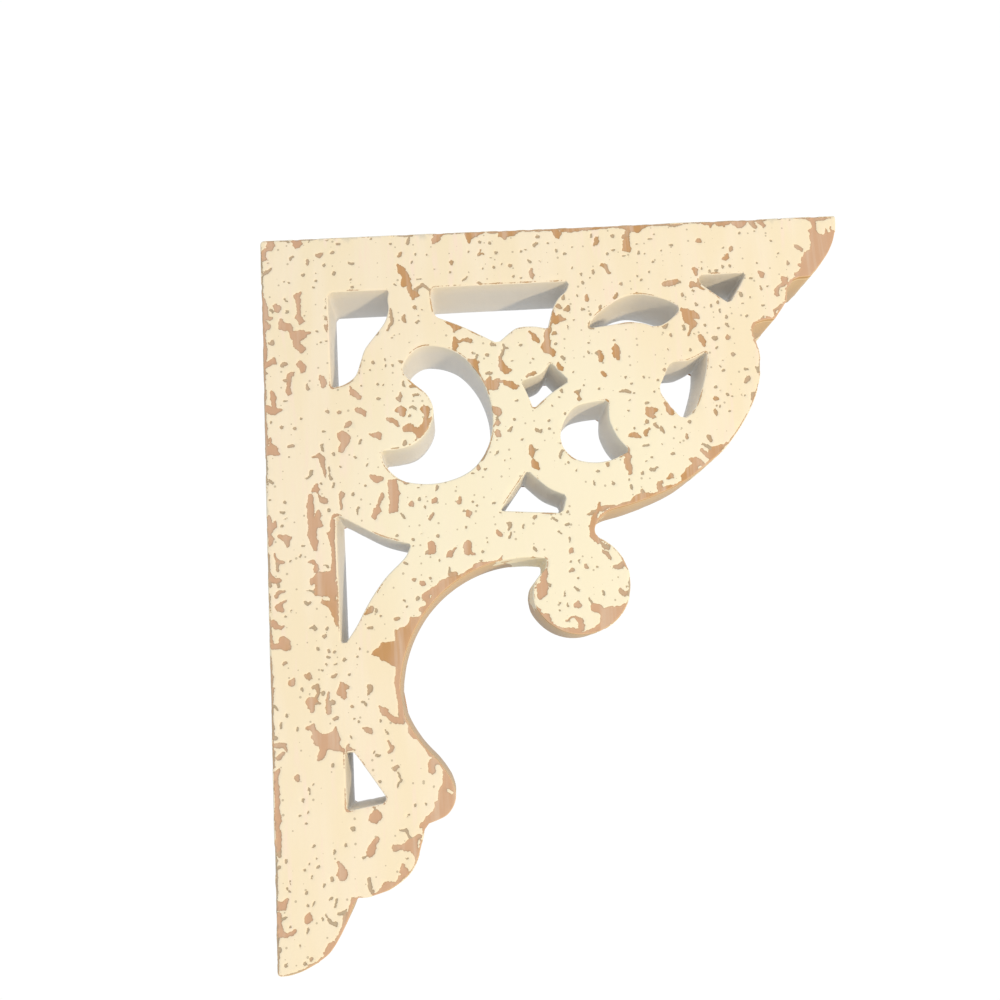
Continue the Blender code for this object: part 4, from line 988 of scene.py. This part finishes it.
parts = [(p.reshape(-1, 3), i.reshape(-1, 3), w.ravel(), g.ravel()) for p, i, w, g in grids]
parts += [flat_part(front_points, front_values, -1.0), flat_part(back_points, back_values, 1.0)]
places, into, wear, girth = (np.concatenate(column) for column in zip(*parts))
on_faces = np.zeros(len(front_points) + len(back_points))
upright = [np.broadcast_to(np.sin(turned)[:, None] ** 2, n.shape).ravel() for n in numbers]
sawn = np.concatenate(upright + [on_faces])
inside = np.concatenate([0.0 * upright[0]] + upright[1:] + [on_faces])
unworn = 0.06 * noise(places, 14.0, 71) + 0.03 * noise(places, 3.5, 72)
places = places + into * (sunk(wear) + np.maximum(unworn, 0.0))[:, None]


def new_piece(name, places, faces, attributes):
    """A smooth-shaded mesh object from arrays, in metres, with point attributes."""
    mesh = bpy.data.meshes.new(name)
    mesh.vertices.add(len(places))
    mesh.vertices.foreach_set("co", (places / MM).astype(np.float32).ravel())
    mesh.loops.add(faces.size)
    mesh.loops.foreach_set("vertex_index", faces.astype(np.int32).ravel())
    mesh.polygons.add(len(faces))
    mesh.polygons.foreach_set("loop_start", np.arange(0, faces.size, 3, dtype=np.int32))
    mesh.update(calc_edges=True)
    for key, values in attributes.items():
        layer = mesh.attributes.new(key, "FLOAT", "POINT")
        layer.data.foreach_set("value", values.astype(np.float32))
    mesh.shade_smooth()
    piece = bpy.data.objects.new(name, mesh)
    bpy.context.scene.collection.objects.link(piece)
    return piece


board = new_piece("painted_board", places, faces,
                  {"wear": wear, "girth": girth, "sawn": sawn, "inside": inside,
                   "through": (places[:, 1] + HALF) / THICKNESS})
print("problems mended by validate:", board.data.validate())
print("triangles:", len(board.data.polygons), "and vertices:", len(board.data.vertices))

# %% [markdown]
# ## The finish
# The real finish is chalk paint, brushed on over pine, then distressed. Chalk paint is
# dead flat: it scatters light evenly, so its colour barely changes with the view. Its
# brush marks run up and down the board. Where it is gone, sanded pine shows warm and a
# little smoother. Some light and shade is painted into the colour as well: a painted pool
# of light round the middle of the front, painted shade deep in the openings and on the
# sawn walls, a thin painted shade along the foot of the paint's broken edge, and a
# painted highlight on the bare arrises.

# %% Colours and nodes
def linear(code):
    """An sRGB hex colour as linear light: each channel c goes to ((c+.055)/1.055)^2.4."""
    channels = [int(code[i:i + 2], 16) / 255 for i in (1, 3, 5)]
    return [c / 12.92 if c <= 0.04045 else ((c + 0.055) / 1.055) ** 2.4 for c in channels] + [1.0]


def add(tree, kind, inputs=None, **settings):
    """Add a node: settings are its own, and inputs are sockets to link or values to set."""
    node = tree.nodes.new(kind)
    for name, value in settings.items():
        setattr(node, name, value)
    for key, value in (inputs or {}).items():
        if isinstance(value, bpy.types.NodeSocket):
            tree.links.new(value, node.inputs[key])
        else:
            node.inputs[key].default_value = value
    return node


# %% The painted and worn pine
CREAM = "#F9EACD"          # chalk paint, as it mostly is
CREAM_YELLOW = "#F7E7C5"   # where it went on thin
CREAM_PINK = "#FAE6CE"     # where the wood warms it
CREAM_LIT_MIDDLE = "#F9F0D2"   # and lighter round the middle of the front: a painted pool of light
SHADED_CREAM = "#EAE5DC"   # the same paint inside the openings, greyer and cooler: painted shade
PINE = "#D2A987"           # sanded pine in the larger chips
PINE_LIGHT = "#D8B89B"     # its paler grain lines
PINE_OCHRE = "#C79864"     # the resinous stretches
FLECK_PINE = "#BDAD90"     # small chips go less deep: grey wood with dust in it
EDGE_PINE_HIGHLIT = "#EBCCA2"      # an arris rubbed clean, and lighter still with a painted highlight
SAWN_OCHRE = "#D2A468"     # bare wood on the sawn walls, just behind the arris
SAWN_TAN = "#DFBE8F"       # further in
SAWN_SHADED_GREY = "#D2B794"      # and deepest, greyer towards the back: painted shade
SAWN_LINE = "#EFCF9C"      # a light line between the first two
STEP_SHADE = "#A98A66"     # painted shade along the foot of the paint's broken edge
LIGHT_POOL_CENTRE = (0.115, 0.0, 0.030)       # in metres: the centre of the painted pool of light
RESIN = (0.135, 0.0, 0.095)        # the heart of the larger resinous stretch
RESIN_LOW = (0.047, 0.0, -0.018)   # and of the smaller one, by the stile


def chalk_painted_pine():
    """Cream chalk paint over pine, cut through to the wood where the wear is below zero."""
    material = bpy.data.materials.new("chalk_painted_pine")
    material.use_nodes = True
    tree = material.node_tree
    shader = tree.nodes["Principled BSDF"]
    place = add(tree, "ShaderNodeTexCoord").outputs["Object"]

    def stored(name):
        return add(tree, "ShaderNodeAttribute", attribute_name=name).outputs["Fac"]

    def math_node(operation, *values):
        return add(tree, "ShaderNodeMath", dict(enumerate(values)), operation=operation).outputs[0]

    def times(first, second):
        return math_node("MULTIPLY", first, second)

    def stretched(scale):
        return add(tree, "ShaderNodeMapping", {"Vector": place, "Scale": scale}).outputs[0]

    def grain(scale, size, detail=2.0):
        return add(tree, "ShaderNodeTexNoise",
                   {"Vector": stretched(scale), "Scale": size, "Detail": detail}).outputs[0]

    def between(value, start, end):
        return add(tree, "ShaderNodeMapRange", {"Value": value, "From Min": start, "From Max": end},
                   interpolation_type="SMOOTHSTEP").outputs[0]

    def blend(share, first, second):
        node = add(tree, "ShaderNodeMix", {0: share, 6: first, 7: second}, data_type="RGBA")
        return node.outputs[2]

    def drifting(pattern, amount):
        return times(math_node("SUBTRACT", pattern, 0.5), amount)

    def away_from(centre):
        node = add(tree, "ShaderNodeVectorMath", {0: place, 1: centre}, operation="DISTANCE")
        return node.outputs["Value"]

    wear, girth, sawn, inside, through = map(stored, ("wear", "girth", "sawn", "inside", "through"))

    # Brush marks are 1 mm across and 40 mm long, and the paint's colour drifts over 12 mm
    streaks = grain((1.0, 1.0, 0.035), 900.0)
    broad = grain((1.0, 1.0, 0.22), 70.0)
    thin = grain((1.0, 1.0, 0.12), 260.0, 3.0)
    paint = blend(between(broad, 0.38, 0.62), linear(CREAM_YELLOW), linear(CREAM))
    paint = blend(between(thin, 0.55, 0.72), paint, linear(CREAM_PINK))
    paint = blend(times(between(streaks, 0.35, 0.65), 0.25), paint, linear(CREAM_YELLOW))
    # A painted pool of light: the paint is lighter within 5 to 10 cm of one point on the front
    light_pool = times(between(away_from(LIGHT_POOL_CENTRE), 0.10, 0.05), 0.8)
    paint = blend(light_pool, paint, linear(CREAM_LIT_MIDDLE))
    # Painted shade: inside the openings the paint turns greyer and cooler further back through the board
    painted_wall_shade = times(inside, between(through, -0.25, 0.4))
    paint = blend(painted_wall_shade, paint, linear(SHADED_CREAM))

    # Pine: salmon, two ochre stretches with cloudy borders, and a fine upright grain
    clouds = drifting(grain((1.0, 1.0, 0.3), 45.0), 0.12)
    large = between(math_node("ADD", away_from(RESIN), clouds), 0.100, 0.065)
    small = between(math_node("ADD", away_from(RESIN_LOW), clouds), 0.045, 0.020)
    ochre = math_node("MAXIMUM", large, small)
    wood = blend(ochre, linear(PINE), linear(PINE_OCHRE))
    upright_grain = grain((1.0, 1.0, 0.06), 420.0, 3.0)
    wood = blend(between(upright_grain, 0.40, 0.75), wood, linear(PINE_LIGHT))
    wood = blend(between(girth, 1.25, 0.45), wood, linear(FLECK_PINE))

    # Sawn walls: four colours in bands from front to back, greying towards the back as painted shade, and
    # the arris rubbed clean and lighter with a painted highlight
    inwards = math_node("ADD", through, drifting(grain((1.0, 1.0, 1.0), 30.0), 0.16))
    sawn_wood = blend(between(inwards, 0.06, 0.16), linear(SAWN_OCHRE), linear(SAWN_TAN))
    # Painted shade: the sawn wood greys towards the back of the board
    sawn_wood = blend(between(through, 0.2, 0.9), sawn_wood, linear(SAWN_SHADED_GREY))
    off_line = math_node("ABSOLUTE", math_node("SUBTRACT", inwards, 0.10))
    sawn_wood = blend(between(off_line, 0.035, 0.012), sawn_wood, linear(SAWN_LINE))
    wood = blend(sawn, wood, sawn_wood)
    # The bare arris is rubbed clean; its lighter colour along the rounded edge is partly a painted
    # highlight
    rubbed_and_highlit = times(times(sawn, math_node("SUBTRACT", 1.0, sawn)), 2.6)
    wood = blend(rubbed_and_highlit, wood, linear(EDGE_PINE_HIGHLIT))

    # The wear, with a crumbled edge finer than the mesh can hold
    crumbs = drifting(grain((1.0, 1.0, 1.0), 1300.0, 3.0), 0.80)
    ragged_wear = math_node("ADD", wear, crumbs)
    # A thin painted shade darkens the bare wood just inside the paint's broken edge
    rim = times(between(ragged_wear, -0.45, 0.0), 0.45)
    wood = blend(rim, wood, linear(STEP_SHADE))
    painted = between(ragged_wear, -0.08, 0.10)
    colour = blend(painted, wood, paint)

    # Pin-pricks in the paint, under 1 mm: one cell in three has a spot of its own size
    flat = add(tree, "ShaderNodeSeparateXYZ", {0: place})
    sheet = add(tree, "ShaderNodeCombineXYZ", {0: flat.outputs[0], 1: flat.outputs[2]}).outputs[0]
    cells = add(tree, "ShaderNodeTexVoronoi", {"Vector": sheet, "Scale": 250.0},
                voronoi_dimensions="2D")
    pick = add(tree, "ShaderNodeSeparateColor", {0: cells.outputs["Color"]}).outputs[0]
    reach = times(math_node("SUBTRACT", pick, 0.67), 0.42)
    spot = between(math_node("SUBTRACT", reach, cells.outputs["Distance"]), -0.015, 0.02)
    on_face = math_node("SUBTRACT", 1.0, sawn)
    pricks = times(times(spot, on_face), painted)
    colour = blend(times(pricks, 0.75), colour, linear(FLECK_PINE))
    tree.links.new(colour, shader.inputs["Base Color"])

    # Brush ridges on the paint, and the film's own edge
    ridges = math_node("ADD", times(streaks, 0.06), times(thin, 0.05))
    height = math_node("ADD", times(ridges, painted), times(painted, 0.10))
    bump = add(tree, "ShaderNodeBump", {"Height": height, "Strength": 0.5, "Distance": 0.001})
    tree.links.new(bump.outputs[0], shader.inputs["Normal"])
    dull = add(tree, "ShaderNodeMapRange", {"Value": painted, "To Min": 0.62, "To Max": 0.88}).outputs[0]
    tree.links.new(dull, shader.inputs["Roughness"])
    shader.inputs["Specular IOR Level"].default_value = 0.3
    return material


board.data.materials.append(chalk_painted_pine())
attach(board, "root")
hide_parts("corbel_board")
print("materials on the board:", [m.name for m in board.data.materials])

# %% [markdown]
# ## The room
# The picture was lit by one bright window, low and to the right, and by a cool, even
# light from everywhere else. The shadows that the openings' sides throw across their
# own walls give the window's direction. Behind the bracket all is white, floor and all,
# as on a photographer's sweep.

# %% Floor
FLOOR_DROP = 1.7     # how far under the bracket the floor is, in metres
FLOOR_SIZE = 14.0


def seen_white(tree, plain):
    """Mix a shader with pure white that only the camera sees, as a lit sweep would be."""
    white = add(tree, "ShaderNodeEmission", {"Color": (1.0, 1.0, 1.0, 1.0), "Strength": 1.02})
    seen = add(tree, "ShaderNodeLightPath").outputs["Is Camera Ray"]
    return add(tree, "ShaderNodeMixShader", {0: seen, 1: plain, 2: white.outputs[0]}).outputs[0]


def pale_floor():
    """A plain sheet of matt white far under the bracket."""
    height = float(low[2]) - FLOOR_DROP
    half = FLOOR_SIZE / 2
    corners = [(x * half, y * half, height) for x, y in ((-1, -1), (1, -1), (1, 1), (-1, 1))]
    mesh = bpy.data.meshes.new("pale_floor")
    mesh.from_pydata(corners, [], [(0, 1, 2, 3)])
    material = bpy.data.materials.new("matt_white_sweep")
    material.use_nodes = True
    tree = material.node_tree
    shader = tree.nodes["Principled BSDF"]
    shader.inputs["Base Color"].default_value = linear("#F4F4F2")
    shader.inputs["Roughness"].default_value = 0.9
    output = tree.nodes["Material Output"]
    tree.links.new(seen_white(tree, shader.outputs[0]), output.inputs["Surface"])
    mesh.materials.append(material)
    floor = bpy.data.objects.new("pale_floor", mesh)
    bpy.context.scene.collection.objects.link(floor)
    return floor


pale_floor()

# %% Lights
CENTRE = Vector(((low + high) / 2).tolist())
WINDOW_SIDE = math.radians(35)    # how far to the right of straight ahead the window is
WINDOW_BELOW = math.radians(20)   # and how far below level
WINDOW_AWAY = 2.2
WINDOW_SIZE = 0.18
WINDOW_POWER = 30.0
WINDOW_COLOUR = (1.0, 0.81, 0.51)
FILL_PLACE = (0.13, 1.9, 1.1)     # a second, weaker lamp above and behind the board
FILL_SIZE = 0.6
FILL_POWER = 11.0
FILL_COLOUR = (1.0, 0.86, 0.64)


def soft_light(name, place, size, power, colour):
    """A square area light at a place, turned to the middle of the bracket."""
    lamp = bpy.data.lights.new(name, "AREA")
    lamp.shape = "SQUARE"
    lamp.size = size
    lamp.energy = power
    lamp.color = colour
    light = bpy.data.objects.new(name, lamp)
    light.location = place
    light.rotation_euler = (CENTRE - Vector(place)).to_track_quat("-Z", "Y").to_euler()
    bpy.context.scene.collection.objects.link(light)
    return light


level = math.cos(WINDOW_BELOW)
towards = Vector((level * math.sin(WINDOW_SIDE), -level * math.cos(WINDOW_SIDE),
                  -math.sin(WINDOW_BELOW)))
window_place = CENTRE + WINDOW_AWAY * towards
soft_light("window", window_place, WINDOW_SIZE, WINDOW_POWER, WINDOW_COLOUR)
soft_light("back_fill", FILL_PLACE, FILL_SIZE, FILL_POWER, FILL_COLOUR)


SKY_COLOUR = (0.56, 0.635, 0.765, 1.0)


def sky():
    """A world that is white to the camera and a dim, cool sky to everything else."""
    world = bpy.data.worlds.new("studio")
    world.use_nodes = True
    tree = world.node_tree
    air = tree.nodes["Background"]
    air.inputs["Color"].default_value = SKY_COLOUR
    output = tree.nodes["World Output"]
    tree.links.new(seen_white(tree, air.outputs[0]), output.inputs["Surface"])
    bpy.context.scene.world = world


sky()
bpy.context.scene.view_settings.view_transform = "Standard"

# %% [markdown]
# ## The camera
# The camera's place was worked out from the board itself. Its front face is a known
# rectangle in perspective: the edges that are parallel on the board meet at two points
# in the picture, and those give the direction of view and the lens.

# %% Camera
CAMERA_PLACE = (0.07598, -0.41939, -0.04875)
CAMERA_RIGHT = Vector((0.99673, -0.04236, -0.06875)).normalized()
CAMERA_AHEAD = Vector((0.05470, 0.98046, 0.18899)).normalized()
PICTURE = 1000.0
FOCAL_PIXELS = 967.4
SENSOR = 36.0

lens = bpy.data.cameras.new("camera")
lens.sensor_width = SENSOR
lens.lens = SENSOR * FOCAL_PIXELS / PICTURE
lens.clip_start = 0.01
camera = bpy.data.objects.new("camera", lens)
upwards = CAMERA_RIGHT.cross(CAMERA_AHEAD)
turn = Matrix((CAMERA_RIGHT, upwards, -CAMERA_AHEAD)).transposed()
camera.matrix_world = Matrix.Translation(CAMERA_PLACE) @ turn.to_4x4()
bpy.context.scene.collection.objects.link(camera)
bpy.context.scene.camera = camera
print("lens", round(lens.lens, 2), "mm")
